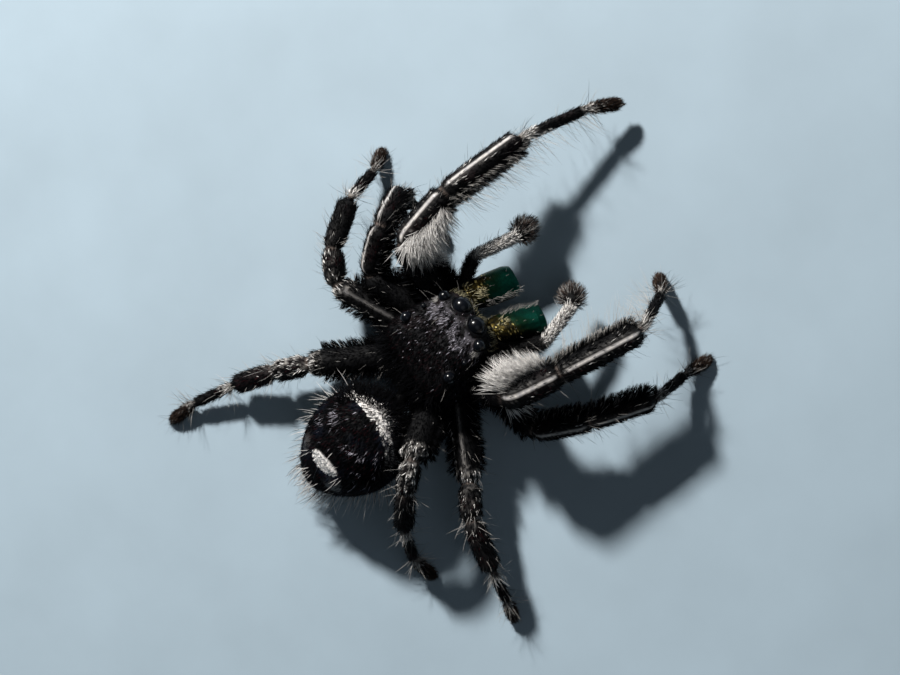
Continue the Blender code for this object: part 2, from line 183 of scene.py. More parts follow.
def placeCamera():
    turn, roll = math.radians(cameraView["azimuth"]), math.radians(cameraView["roll"])
    back = heading(cameraView)
    level = Vector((math.cos(turn), math.sin(turn), 0.0))
    over = back.cross(level)
    right = level * math.cos(roll) + over * math.sin(roll)
    up = over * math.cos(roll) - level * math.sin(roll)
    place = (Vector(cameraView["aim"]) + back * cameraView["distance"]) * mm
    lens = bpy.data.cameras.new("camera")
    lens.lens = cameraView["lens"]
    lens.sensor_width = cameraView["sensor"]
    lens.clip_start, lens.clip_end = cameraView["clip"]
    camera = linked("camera", lens)
    camera.matrix_world = Matrix.Translation(place) @ Matrix((right, up, back)).transposed().to_4x4()
    bpy.context.scene.camera = camera


# Frames of the head and the abdomen, read from their nodes

# Each pair of eyes: the name of its nodes, and how far rearward and up it sits in the head's frame
headEyes = {
    "frontMain": ("front_main", -1.97, 0.98),
    "frontSide": ("front_side", -1.72, 1.16),
    "small": ("small", -0.96, 1.40),
    "rear": ("rear", -0.20, 1.54),
}


class BodyFrame:
    def __init__(self, origin, across, rearward, up):
        self.origin = origin
        self.axes = np.array([across, rearward, up])

    def local(self, points):
        return (points - self.origin) @ self.axes.T

    def world(self, points):
        return points @ self.axes + self.origin


def headFrame():
    # across from the eye pairs, rearward from the rise of the eye rows
    ends = {key: (nodeMiddle(f"eye_{row[0]}_left"), nodeMiddle(f"eye_{row[0]}_right"))
            for key, row in headEyes.items()}
    across = unit(sum(unit(left - right) for left, right in ends.values()))
    front = sum(ends["frontMain"]) / 2
    rear = sum(ends["rear"]) / 2
    chord = unit(rear - front)
    run = headEyes["rear"][1] - headEyes["frontMain"][1]
    rise = headEyes["rear"][2] - headEyes["frontMain"][2]
    slope = math.atan2(rise, run)
    lifted = unit(np.cross(across, chord))
    rearward = chord * math.cos(slope) - lifted * math.sin(slope)
    up = unit(np.cross(across, rearward))
    origin = front - rearward * headEyes["frontMain"][1] - up * headEyes["frontMain"][2]
    return BodyFrame(origin, across, rearward, up)


def abdomenFrame():
    points = nodePoints("abdomen")
    centre = points.mean(axis=0)
    _, axes = np.linalg.eigh(np.cov((points - centre).T))
    rearward = axes[:, 2] * np.sign(axes[1, 2])
    up = axes[:, 0] * np.sign(axes[2, 0])
    across = np.cross(rearward, up)
    return BodyFrame(centre, across, rearward, up)


head = headFrame()
abdomen = abdomenFrame()
eyes = {}
for eyeName, eyeRow in headEyes.items():
    for side in sides:
        node = f"eye_{eyeRow[0]}_{side}"
        low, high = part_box(node)
        eyes[eyeName, side] = {
            "node": node,
            "centre": nodeMiddle(node),
            "radius": (high - low).z / mm / 2,
        }


# Meshes

def linked(name, data):
    piece = bpy.data.objects.new(name, data)
    bpy.context.scene.collection.objects.link(piece)
    return piece


def makeObject(name, points, faces, smooth=True):
    mesh = bpy.data.meshes.new(name)
    mesh.from_pydata((np.asarray(points) * mm).tolist(), [], faces)
    mesh.update()
    if smooth:
        mesh.shade_smooth()
    return linked(name, mesh)


def turnOutward(mesh):
    work = bmesh.new()
    work.from_mesh(mesh)
    bmesh.ops.recalc_face_normals(work, faces=work.faces)
    work.to_mesh(mesh)
    work.free()


def setMark(mesh, name, values):
    if values.ndim == 2:
        full = np.ones((len(values), 4), np.float32)
        full[:, :3] = values
        mark = mesh.attributes.new(name, "FLOAT_COLOR", "POINT")
        mark.data.foreach_set("color", full.ravel())
    else:
        mark = mesh.attributes.new(name, "FLOAT", "POINT")
        mark.data.foreach_set("value", values.astype(np.float32))


def keep(piece, slot, *replaced):
    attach(piece, "root")
    if replaced:
        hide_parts(*replaced)
    return piece


def pointNormals(points, triangles):
    a, b, c = (points[triangles[:, k]] for k in range(3))
    faceNormals = np.cross(b - a, c - a)
    normals = np.zeros_like(points)
    for k in range(3):
        for axis in range(3):
            normals[:, axis] += np.bincount(triangles[:, k], faceNormals[:, axis], len(points))
    return unit(normals)


# Skin of the head and the abdomen: balls cast onto the inside of their nodes, then smoothed

castShape = {
    "headDetail": 7,
    "abdomenDetail": 6,
    "headSmoothing": 55,
    "abdomenSmoothing": 14,
    "coatDepth": 0.06,
    "socketReach": 1.45,
    "socketTurns": 400,
    "rimHeight": 0.095,
    "rimWidth": 0.16,
    "grooveDepth": 0.05,
    "pitDepth": 0.05,
    "pitRows": (-0.75, 0.05, 0.85),
}


def castShell(node, centre, detail, smoothing, openings=()):
    work = bmesh.new()
    bmesh.ops.create_icosphere(work, subdivisions=detail, radius=1.0)
    rays = unit(np.array([v.co[:] for v in work.verts]))
    triangles = np.array([[v.index for v in f.verts] for f in work.faces])
    links = np.array([[e.verts[0].index, e.verts[1].index] for e in work.edges])
    work.free()
    tree = nodeTree(node)
    reach = np.array([tree.ray_cast(Vector(centre), Vector(ray))[3] or 0.0 for ray in rays])
    count = len(rays)
    degree = np.bincount(links.ravel(), minlength=count)

    def averaged(values):
        total = np.bincount(links[:, 0], values[links[:, 1]], count)
        total += np.bincount(links[:, 1], values[links[:, 0]], count)
        return total / degree

    # the sockets are filled from their surroundings first
    hits = centre + rays * reach[:, None]
    inSocket = np.zeros(count, bool)
    for place, radius in openings:
        near = np.linalg.norm(hits - place, axis=1) < radius * castShape["socketReach"]
        inSocket |= near
    if inSocket.any():
        # filled points start from the middle reach of all the others
        reach[inSocket] = np.median(reach[~inSocket])
        for step in range(castShape["socketTurns"]):
            reach = np.where(inSocket, averaged(reach), reach)
    for step in range(smoothing):
        reach = averaged(reach)
    points = centre + rays * (reach - castShape["coatDepth"])[:, None]
    return {"points": points, "triangles": triangles, "normals": pointNormals(points, triangles)}


headPattern = {"browLine": -1.46, "browWidth": 0.34, "browStart": (-1.95, -1.65), "brow": 0.9,
               "rearLine": 1.45, "rearWidth": 0.20, "rear": 0.35, "scatter": 0.10}
abdomenPattern = {"bandLine": -2.24, "bandCurve": 0.34, "bandEdge": (0.06, 0.17), "spotPlace": (-0.16, 0.33),
                  "spotSize": (0.68, 0.29), "spotTurn": 14.0, "spotEdge": (0.86, 1.05), "wobble": 0.05}


def headMarks(local):
    # the share of lilac hair at places given as left, rearward and up
    _, y, z = local.T
    ends = smoothStep(z, 0.80, 1.15) * smoothStep(y, *headPattern["browStart"])
    brow = bell(y - headPattern["browLine"], headPattern["browWidth"]) * ends
    scatter = headPattern["scatter"] * smoothStep(z, 0.5, 1.3) * (1 - smoothStep(y, -0.4, 0.8))
    rearRim = bell(y - headPattern["rearLine"], headPattern["rearWidth"]) * smoothStep(z, 0.35, 0.8)
    lilac = brow * headPattern["brow"] + scatter + rearRim * headPattern["rear"]
    broken = ripple(local, 0.45, 11) + 0.6 * ripple(local, 0.22, 12)
    return np.clip(lilac * smoothStep(broken, -0.9, 0.3), 0, 1)


def abdomenMarks(local):
    # the shares of band, spot, grey dust and bare gloss at places given as left, rearward and up
    x, y, z = local.T
    wobble = abdomenPattern["wobble"] * ripple(local, 0.5, 21)
    away = np.abs(y - (abdomenPattern["bandLine"] + abdomenPattern["bandCurve"] * x**2) + wobble)
    band = 1 - smoothStep(away, *abdomenPattern["bandEdge"])
    band *= smoothStep(ripple(local, 0.28, 26), -0.9, -0.1)
    band *= smoothStep(z, -0.35, 0.05)
    turned = math.radians(abdomenPattern["spotTurn"])
    sx, sy = x - abdomenPattern["spotPlace"][0], y - abdomenPattern["spotPlace"][1]
    along = (sx * math.cos(turned) + sy * math.sin(turned)) / abdomenPattern["spotSize"][0]
    over = (sy * math.cos(turned) - sx * math.sin(turned)) / abdomenPattern["spotSize"][1]
    spot = (1 - smoothStep(np.sqrt(along**2 + over**2) + wobble, *abdomenPattern["spotEdge"])) * (z > 0)
    dust = smoothStep(ripple(local, 0.7, 22) + 0.5 * ripple(local, 0.3, 23), 0.15, 0.9)
    ahead = bell(y + 1.05, 0.60) * smoothStep(z, 0.5, 1.1)
    aside = bell(np.abs(x) - 1.35, 0.35) * bell(y + 0.9, 0.7)
    grey = np.clip(dust * (0.65 * ahead + 0.45 * aside), 0, 1)
    bare = np.exp(-(((np.abs(x) - 0.95) / 0.40) ** 2 + ((y - 0.72) / 0.55) ** 2) ** 2) * (z > 0)
    return band, spot, grey, bare


def paintedBlueSheen(local):
    # black with soft patches of painted blue sheen
    black = allOf(tones["black"], len(local))
    return blendTone(black, tones["paintedBlueSheen"], smoothStep(ripple(local, 1.1, 24), -0.2, 0.8))


def makeHeadShell():
    openings = [(eye["centre"], eye["radius"]) for eye in eyes.values()]
    centre = nodeMiddle("cephalothorax")
    shell = castShell("cephalothorax", centre, castShape["headDetail"], castShape["headSmoothing"], openings)
    points, normals = shell["points"], shell["normals"]
    local = head.local(points)
    # a dark rim stands up round each lens
    lift = np.zeros(len(points))
    rim = np.zeros(len(points))
    for eye in eyes.values():
        away = np.linalg.norm(points - eye["centre"], axis=1) / eye["radius"]
        ring = bell(away - 1.06, castShape["rimWidth"])
        lift += ring * castShape["rimHeight"] * (0.5 + eye["radius"])
        rim = np.maximum(rim, ring)
    # the shallow groove behind the rear eyes
    groove = np.exp(-((local[:, 1] - 0.55) / 0.22) ** 2 - (local[:, 0] / 0.9) ** 2)
    lift -= castShape["grooveDepth"] * groove * (local[:, 2] > 0.8)
    points = points + normals * lift[:, None]
    local = head.local(points)
    tint = layered(allOf(tones["black"], len(points)),
                   (tones["maroon"], 0.25 * smoothStep(ripple(local, 0.9, 13), 0.1, 0.9)),
                   (tones["lilac"], 0.5 * headMarks(local) * (1 - rim)))
    shell.update(points=points, frame=head, span=(-2.2, 2.1), tint=tint, gloss=0.30 + 0.6 * rim,
                 normals=pointNormals(points, shell["triangles"]))
    return shell


def makeAbdomenShell():
    centre = abdomen.origin
    shell = castShell("abdomen", centre, castShape["abdomenDetail"], castShape["abdomenSmoothing"])
    points = shell["points"]
    local = abdomen.local(points)
    # pairs of small pits over the muscles, along the back
    lift = np.zeros(len(points))
    for row in castShape["pitRows"]:
        pit = np.hypot(np.abs(local[:, 0]) - 0.52, local[:, 1] - row)
        lift -= castShape["pitDepth"] * bell(pit, 0.12) * (local[:, 2] > 0)
    points = points + shell["normals"] * lift[:, None]
    band, spot, grey, bare = abdomenMarks(local)
    # the black skin carries soft patches of painted blue sheen
    tint = layered(paintedBlueSheen(local), (tones["brown"], 0.35 * bare), (tones["lilac"], 0.4 * grey),
                   (tones["white"], np.maximum(0.7 * band, spot)))
    shell.update(points=points, frame=abdomen, span=(-2.4, 2.4), tint=tint, gloss=0.25 + 0.6 * bare,
                 normals=pointNormals(points, shell["triangles"]))
    return shell


# Skin of the legs and palps: tubes swept along the joints read from the nodes

legShape = {
    "coatDepth": (0.03, 0.03, 0.04, 0.11, 0.09),
    "step": 0.055,
    "around": 28,
    "jointShare": 0.80,
    "jointRun": 0.30,
    "creaseDepth": 0.035,
    "creaseWidth": 0.055,
    "thighDepth": {1: 0.26, 2: 0.08, 3: 0.05, 4: 0.05},
}


def smoothRows(values, turns):
    for turn in range(turns):
        values[1:-1] = (values[:-2] + 2 * values[1:-1] + values[2:]) / 4
    return values


def sweepLine(corners, radii, step):
    # the line through the corners with each inner corner rounded off, at even steps
    fine, marks = [corners[0]], [0]
    for k in range(1, len(corners) - 1):
        before, after = corners[k] - corners[k - 1], corners[k + 1] - corners[k]
        nearLength, farLength = np.linalg.norm(before), np.linalg.norm(after)
        before, after = before / nearLength, after / farLength
        bend = math.acos(np.clip(before @ after, -1, 1))
        trim = min(0.12 + 1.25 * radii[k] * math.tan(bend / 2), 0.42 * min(nearLength, farLength))
        start, finish = corners[k] - before * trim, corners[k] + after * trim
        for u in np.linspace(0, 1, 9):
            fine.append(start * (1 - u) ** 2 + corners[k] * 2 * u * (1 - u) + finish * u * u)
            if u == 0.5:
                marks.append(len(fine) - 1)
    fine.append(corners[-1])
    marks.append(len(fine) - 1)
    fine = np.array(fine)
    run = np.concatenate([[0], np.cumsum(np.linalg.norm(np.diff(fine, axis=0), axis=1))])
    stations = np.linspace(0, run[-1], int(run[-1] / step) + 1)
    line = np.stack([np.interp(stations, run, fine[:, k]) for k in range(3)], axis=1)
    return smoothRows(line, 3), stations, run[marks]


def makeTube(line, down, across, depth, up, around):
    # rings of points; down, across and up are the half sizes below, sideways and above
    tangents = unit(np.gradient(line, axis=0))
    under = flatTo(down, tangents)
    side = np.cross(tangents, under)
    angles = 2 * math.pi * np.arange(around) / around
    cos, sin = np.cos(angles)[None, :, None], np.sin(angles)[None, :, None]
    fall = np.where(cos > 0, depth[:, None, None], up[:, None, None])
    offset = under[:, None] * cos * fall + side[:, None] * sin * across[:, None, None]
    grid = line[:, None] + offset
    rows = len(line)
    ring = np.arange(around)
    nextRing = (ring + 1) % around
    starts = np.arange(rows - 1)[:, None] * around
    first, second = starts + ring, starts + nextRing
    quads = np.stack([first, second, second + around, first + around], axis=2).reshape(-1, 4)
    points = grid.reshape(-1, 3)
    ends = len(points)
    points = np.concatenate([points, [grid[0].mean(axis=0), grid[-1].mean(axis=0)]])
    lastRow = (rows - 1) * around
    faces = quads.tolist()
    faces += np.stack([nextRing, ring, np.full(around, ends)], axis=1).tolist()
    faces += np.stack([ring + lastRow, nextRing + lastRow, np.full(around, ends + 1)], axis=1).tolist()
    triangles = np.concatenate([quads[:, [0, 1, 2]], quads[:, [0, 2, 3]]])
    normals = pointNormals(points, triangles)
    outward = dots(normals[:ends], (grid - line[:, None]).reshape(-1, 3)).mean()
    if outward < 0:
        normals = -normals
    normals[ends:] = [-tangents[0], tangents[-1]]
    return {"points": points, "faces": faces, "grid": grid, "normals": normals,
            "gridNormals": normals[:ends].reshape(rows, around, 3), "tangents": tangents,
            "under": under, "side": side}


def roundTube(line, girth, around, down=(0.0, 0.0, -1.0)):
    return makeTube(line, np.tile(down, (len(line), 1)), girth, girth, girth, around)


def segmentThickness(node, near, far):
    # the round part's radius: the fringe only lowers the under side, and the thigh's base is slimmer
    points = nodePoints(node)
    axis = unit(far - near)
    share = (points - near) @ axis / np.linalg.norm(far - near)
    middle = points[(share > (0.45 if "femur" in node else 0.2)) & (share < 0.8)]
    if len(middle) < 6:
        middle = points
    offset = middle - near
    across = np.linalg.norm(offset - dots(offset, axis) * axis, axis=1)
    return np.quantile(across, 0.5 if "femur" in node and "leg_1" not in node else 0.3)


def reachOf(points, joint):
    # the direction and the length of a segment beyond its joint
    axis = unit(points.mean(axis=0) - joint)
    return axis, ((points - joint) @ axis).max()


def legCorners(side, pair):
    names = [f"leg_{pair}_{side}_{segment}" for segment in segments]
    joints = [between(a, b) for a, b in zip(names, names[1:])]
    knee = joints[0]
    femur = nodePoints(names[0])
    far = endOf(femur, knee, 6)
    reach = (femur - knee) @ unit(far - knee)
    hip = femur[reach > reach.max() - 0.45].mean(axis=0)
    inward = head.world(np.array([0.0, head.local(hip)[1] * 0.55, -0.62]))
    root = hip + unit(inward - hip) * 0.9
    axis, length = reachOf(nodePoints(names[4]), joints[3])
    return [root, hip, *joints, joints[3] + axis * length]


def makeLegShell(side, pair):
    corners = legCorners(side, pair)
    radii = []
    for k, segment in enumerate(segments):
        thick = segmentThickness(f"leg_{pair}_{side}_{segment}", corners[k + 1], corners[k + 2])
        radii.append(thick - legShape["coatDepth"][k])
    bendRadii = [radii[0] * 0.8, radii[0] * 0.8, *radii]
    tip = corners[-1]
    corners[-1] = tip - unit(tip - corners[-2]) * 0.16
    line, stations, marks = sweepLine(corners, bendRadii, legShape["step"])
    segment = np.clip(np.searchsorted(marks, stations, side="right") - 2, -1, 4)
    share, radius, crease = np.zeros((3, len(stations)))
    for i, s in enumerate(stations):
        k = segment[i]
        start, finish = marks[k + 1], marks[k + 2]
        share[i] = (s - start) / (finish - start)
        full = radii[max(k, 0)]
        if k < 0:
            radius[i] = full * 0.72
            continue
        nearJoint = min(full, radii[max(k - 1, 0)]) * legShape["jointShare"]
        farJoint = min(full, radii[min(k + 1, 4)]) * legShape["jointShare"]
        rise = smoothStep(s - start, 0.0, legShape["jointRun"])
        fall = smoothStep(finish - s, 0.0, legShape["jointRun"])
        radius[i] = full * rise * fall + nearJoint * (1 - rise) + farJoint * (1 - fall)
        radius[i] *= 1.0 + 0.05 * math.sin(math.pi * share[i])
    for mark in marks[1:-1]:
        crease += bell(stations - mark, legShape["creaseWidth"])
    radius -= legShape["creaseDepth"] * crease
    # the thigh is deeper than wide, most of all on the front legs
    thigh = (segment == 0) * np.sin(math.pi * np.clip(share, 0, 1)) ** 0.8
    deeper = smoothRows(legShape["thighDepth"][pair] * thigh, 6)
    down = np.zeros_like(line)
    middle = (corners[1] + tip) / 2
    for i in range(len(line)):
        down[i] = (0, 0, -1) if segment[i] <= 0 else unit(middle - line[i])
    down = unit(smoothRows(down, 30))
    closing = smoothStep(stations, stations[-1] - 0.22, stations[-1] + 0.10)
    radius *= np.sqrt(np.clip(1 - closing**2, 0.05, 1))
    tube = makeTube(line, down, radius * 0.96, radius + deeper, radius, legShape["around"])
    tube.update(line=line, stations=stations, segment=segment, share=share, marks=marks,
                side=tube["side"] * -sides[side])
    rows, around = tube["grid"].shape[:2]
    angles = 2 * math.pi * np.arange(around) / around
    # forward: +1 faces the front of the spider; over: +1 is the back of the leg
    forward = np.sin(angles) * -sides[side]
    over = -np.cos(angles)
    marksHere = legMarks(pair, np.repeat(segment, around), np.repeat(share, around),
                         np.tile(forward, rows), np.tile(over, rows), tube["points"][:-2])
    # the white line laid over the leg's marks is a painted highlight along the bare stripe
    tint = layered(allOf(tones["black"], rows * around), (tones["maroon"], 0.20 * marksHere["maroon"]),
                   (tones["pale"], 0.5 * marksHere["white"]), (tones["white"], marksHere["paintedHighlight"]),
                   (tones["membrane"], np.repeat(crease, around) ** 2))
    tint = np.concatenate([tint, tint[:1], tint[-1:]])
    gloss = np.concatenate([0.3 + 0.7 * marksHere["bare"], [0.3, 0.3]])
    tube.update(tint=tint, gloss=gloss, radius=radius)
    return tube


# Each pair's bare stripe, in degrees round the leg: its middle, its half width and the width of the painted
# highlight line along its middle
stripes = {1: (28.0, 26.0, 5.5), 2: (16.0, 15.0, 5.0), 3: (5.0, 15.0, 3.6), 4: (5.0, 15.0, 3.6)}


def legMarks(pair, segment, share, forward, over, places):
    # each mark is 0 to 1 at points of a leg: where along it, and which side of it
    noise = ripple(places, 0.30, 31)
    grain = ripple(places, 0.12, 33)
    femur, patella, tibia, metatarsus, tarsus = (segment == k for k in range(5))
    speckle = smoothStep(noise + 0.5 * grain, -0.1, 0.5)
    inner = smoothStep(share, 0.02, 0.10) * (1 - smoothStep(share, 0.90, 0.98))
    turned = np.degrees(np.arctan2(forward, over))
    paintedHighlight = np.zeros(len(over))
    if pair <= 2:
        # a bare glossy stripe along the back of the patella and the tibia, edged with pale scales, with a
        # white painted highlight line along its middle
        middle, half, thin = stripes[pair]
        away = np.abs(turned - middle)
        bare = (1 - smoothStep(away, half - 6.0, half)) * (patella | tibia) * inner
        # a white line painted as the highlight along the stripe's middle
        paintedHighlight = 0.85 * bell(away, thin) * (patella | tibia) * inner
        border = bell(away - half, 7.0) * (patella | tibia) * inner
        white = 0.45 * border * smoothStep(grain, 0.2, 0.8)
    else:
        middle, half, thin = stripes[pair]
        bare = (1 - smoothStep(np.abs(turned - middle), half - 7.0, half)) * femur
        bare = bare * smoothStep(share, 0.15, 0.35) * (0.8 if pair == 3 else 0.0)
        # a white painted highlight line along the thigh of the third pair
        paintedHighlight = (0.9 if pair == 3 else 0.0) * bell(turned - middle, thin) * femur * inner
        ring = smoothStep(share, 0.84, 0.92) * femur * smoothStep(over, -0.5, 0.1)
        knee = patella * smoothStep(over, -0.6, 0.2)
        shin = 0.7 * tibia * (1 - smoothStep(share, 0.25, 0.55)) * smoothStep(over, 0.0, 0.5)
        white = speckle * np.maximum.reduce([ring, (0.8 if pair == 4 else 0.25) * knee, 0.10 * shin])
        if pair == 3:
            line = 0.6 * bell(turned + 48.0, 6.0) * femur * smoothStep(noise, -0.7, 0.2)
            white = np.maximum(white, line * smoothStep(share, 0.1, 0.3))
            bare = bare * (1 - line)
    # pale rings at the foot of the metatarsus and of the tarsus
    ring = metatarsus * (1 - smoothStep(share, 0.14, 0.30)) + tarsus * (1 - smoothStep(share, 0.12, 0.26))
    ring = np.maximum(ring, metatarsus * smoothStep(share, 0.90, 0.96))
    if pair == 1:
        below = (1 - smoothStep(share, 0.25, 0.45)) * smoothStep(-over, -0.2, 0.3)
        ring = np.maximum(ring, metatarsus * below)
    white = np.maximum(white, ring * smoothStep(noise, -1.0, 0.0))
    maroon = smoothStep(ripple(places, 1.3, 32), 0.0, 0.9) * (1 - white) * ~femur
    return {"white": np.clip(white, 0, 1), "bare": np.clip(bare, 0, 1), "maroon": maroon, "paintedHighlight": paintedHighlight}


palpShape = {"coatDepth": 0.05, "step": 0.05, "around": 22, "armRadius": 0.26, "creaseDepth": 0.03,
             "creaseWidth": 0.08}


def makePalpShell(side):
    arm, bulb = nodePoints(f"palp_{side}_arm"), nodePoints(f"palp_{side}_bulb")
    wrist = between(f"palp_{side}_arm", f"palp_{side}_bulb")
    far = endOf(arm, wrist, 6)
    # the elbow is the arm point row that lies farthest from the straight line
    axis = unit(wrist - far)
    offset = (arm - far) - dots(arm - far, axis) * axis
    order = np.argsort(-np.linalg.norm(offset, axis=1))
    run = (arm[order[:6]] - far) @ axis
    inner = arm[np.abs((arm - far) @ axis - run.mean()) < 0.35]
    elbow = inner.mean(axis=0)
    tipAxis, length = reachOf(bulb, wrist)
    tip = wrist + tipAxis * (length - 0.10)
    root = far + unit(far - elbow) * 0.8
    thick = palpShape["armRadius"] - palpShape["coatDepth"]
    line, stations, marks = sweepLine([root, far, elbow, wrist, tip], [thick] * 5, palpShape["step"])
    spread = np.linalg.norm((bulb - wrist) - dots(bulb - wrist, tipAxis) * tipAxis, axis=1)
    bulbRadius = np.quantile(spread, 0.8) - palpShape["coatDepth"]
    share = (stations - marks[3]) / (marks[4] - marks[3])
    swell = np.sin(math.pi * np.clip(0.16 + 0.84 * share, 0, 1)) ** 0.55
    radius = np.where(share > 0, bulbRadius * swell, thick)
    creases = sum(bell(stations - mark, palpShape["creaseWidth"]) for mark in marks[1:4])
    radius = np.maximum(smoothRows(radius, 3) - palpShape["creaseDepth"] * creases, 0.05)
    tube = roundTube(line, radius, palpShape["around"])
    rows, around = tube["grid"].shape[:2]
    outer = (share < 0) & (stations > marks[2] - 0.05)
    white = np.repeat(outer * 1.0, around)
    tint = blendTone(allOf(tones["black"], rows * around), tones["pale"], 0.45 * white)
    tube.update(stations=stations, share=share, outer=outer, radius=radius,
                tint=np.concatenate([tint, tint[:1], tint[-1:]]), gloss=np.full(rows * around + 2, 0.3))
    return tube


waistShape = {"radius": 0.28, "narrowing": 0.14, "headReach": 0.3, "abdomenReach": 0.5}
# Each spinneret: how far to the left and up it starts, its reach and its radius
spinnerets = ((0.20, 0.05, 0.42, 0.085), (-0.20, 0.05, 0.42, 0.085), (0.11, -0.10, 0.36, 0.09),
              (-0.11, -0.10, 0.36, 0.09), (0.0, 0.08, 0.28, 0.06))


def plainTube(line, girth, around, tone, gloss):
    tube = roundTube(line, girth, around)
    count = len(tube["points"])
    tube.update(tint=allOf(tone, count), gloss=np.full(count, gloss))
    return tube


def makeWaist():
    # a short tube, a little narrower in the middle
    points = nodePoints("pedicel")
    ends = points[np.argsort(points[:, 1])]
    near, far = ends[:12].mean(axis=0), ends[-12:].mean(axis=0)
    aim = unit(far - near)
    near, far = near - aim * waistShape["headReach"], far + aim * waistShape["abdomenReach"]
    steps = np.linspace(0, 1, 12)
    girth = waistShape["radius"] * (1 - waistShape["narrowing"] * np.sin(math.pi * steps))
    return plainTube(near + (far - near) * steps[:, None], girth, 20, tones["black"], 0.3)


def makeSpinnerets():
    # a front pair, a rear pair and a tiny middle one, each a tapered finger
    points = nodePoints("spinnerets")
    base, tip = endOf(points, abdomen.origin, 10, nearest=True), endOf(points, abdomen.origin, 10)
    aim = unit(tip - base)
    across = abdomen.axes[0]
    rise = np.cross(across, aim)
    steps = np.linspace(0, 1, 12)
    shells = []
    for x, z, reach, size in spinnerets:
        start = base + across * x * 0.8 + rise * z - aim * 0.25
        line = start + (aim + across * x * 0.35) * ((reach + 0.25) * steps)[:, None]
        girth = size * (1 - 0.45 * steps**2) * np.sqrt(np.clip(1.04 - steps**6, 0.04, 1))
        shells.append(plainTube(line, girth, 12, tones["black"] * 2, 0.35))
    return shells


def shellObject(name, shell):
    faces = shell["faces"] if "faces" in shell else shell["triangles"].tolist()
    piece = makeObject(name, shell["points"], faces)
    turnOutward(piece.data)
    setMark(piece.data, "tint", shell["tint"])
    setMark(piece.data, "gloss", shell["gloss"])
    setMark(piece.data, "known", np.ones(len(shell["points"])))
    return piece


def fuseSkin(shells):
    # all shells become one closed skin; points on the new edges take the nearest marks
    pieces = [shellObject(f"shell{k}", shell) for k, shell in enumerate(shells)]
    body = pieces[0]
    for other in pieces[1:]:
        join = body.modifiers.new(other.name, "BOOLEAN")
        join.operation = "UNION"
        join.solver = "MANIFOLD"
        join.object = other
    graph = bpy.context.evaluated_depsgraph_get()
    mesh = bpy.data.meshes.new_from_object(body.evaluated_get(graph))
    for piece in pieces:
        bpy.data.objects.remove(piece)
    mesh.name = "spiderSkin"
    known = np.empty(len(mesh.vertices), np.float32)
    mesh.attributes["known"].data.foreach_get("value", known)
    new = np.flatnonzero(known < 0.99)
    tree = KDTree(sum(len(shell["points"]) for shell in shells))
    tints = np.concatenate([shell["tint"] for shell in shells])
    glosses = np.concatenate([shell["gloss"] for shell in shells])
    for k, point in enumerate(np.concatenate([shell["points"] for shell in shells]) * mm):
        tree.insert(point, k)
    tree.balance()
    for k in new:
        nearest = tree.find(mesh.vertices[k].co)[1]
        mesh.attributes["tint"].data[k].color = (*tints[nearest], 1.0)
        mesh.attributes["gloss"].data[k].value = glosses[nearest]
    mesh.attributes.remove(mesh.attributes["known"])
    mesh.materials.clear()
    mesh.shade_smooth()
    return linked("spiderSkin", mesh)


# Coat: joined blades, each a thin closed spindle rooted in the skin

def joinTufts(sets):
    joined = {key: np.concatenate([s[key] for s in sets]) for key in sets[0]}
    if "lock" in joined:
        starts = np.cumsum([0] + [s["lock"].max() + 1 for s in sets[:-1]])
        joined["lock"] = np.concatenate([s["lock"] + start for s, start in zip(sets, starts)])
    return joined


def pick(tufts, chosen):
    return {key: value[chosen] for key, value in tufts.items()}


coatRules = {"floorGap": 0.012, "topReach": 0.15, "least": 0.25, "shortest": 0.15, "lockPull": 0.75,
             "sink": 0.02, "patch": 0.003, "margin": 0.004}


def locksOf(roots, count, rng):
    # the nearest of some of the roots gathers each blade into a lock
    centres = roots[rng.choice(len(roots), min(count, len(roots)), replace=False)]
    tree = KDTree(len(centres))
    for k, centre in enumerate(centres):
        tree.insert(centre, k)
    tree.balance()
    return np.array([tree.find(root)[1] for root in roots])


def gatherLocks(points, along, lock):
    # the blades of a lock lean together towards its middle tip
    tips = points[:, -1]
    size = np.maximum(np.bincount(lock), 1)[:, None]
    middle = np.stack([np.bincount(lock, tips[:, k]) for k in range(3)], axis=1) / size
    pull = (middle[lock] - tips) * coatRules["lockPull"]
    return points + pull[:, None] * along[None, :, None] ** 1.5


def withinHeight(points, root):
    # a blade that would reach the floor, or stand high over the spider, is shortened towards its root
    room = root[:, 2] - coatRules["floorGap"]
    drop = root[:, 2] - points[:, :, 2].min(axis=1)
    scale = np.clip(room / np.maximum(drop, 1e-6), 0.0, 1.0)
    headroom = cadBox[1][2] / mm + coatRules["topReach"] - root[:, 2]
    rise = points[:, :, 2].max(axis=1) - root[:, 2]
    scale = np.minimum(scale, np.clip(headroom / np.maximum(rise, 1e-6), coatRules["least"], 1.0))
    return root[:, None] + (points - root[:, None]) * scale[:, None, None], scale > coatRules["shortest"]


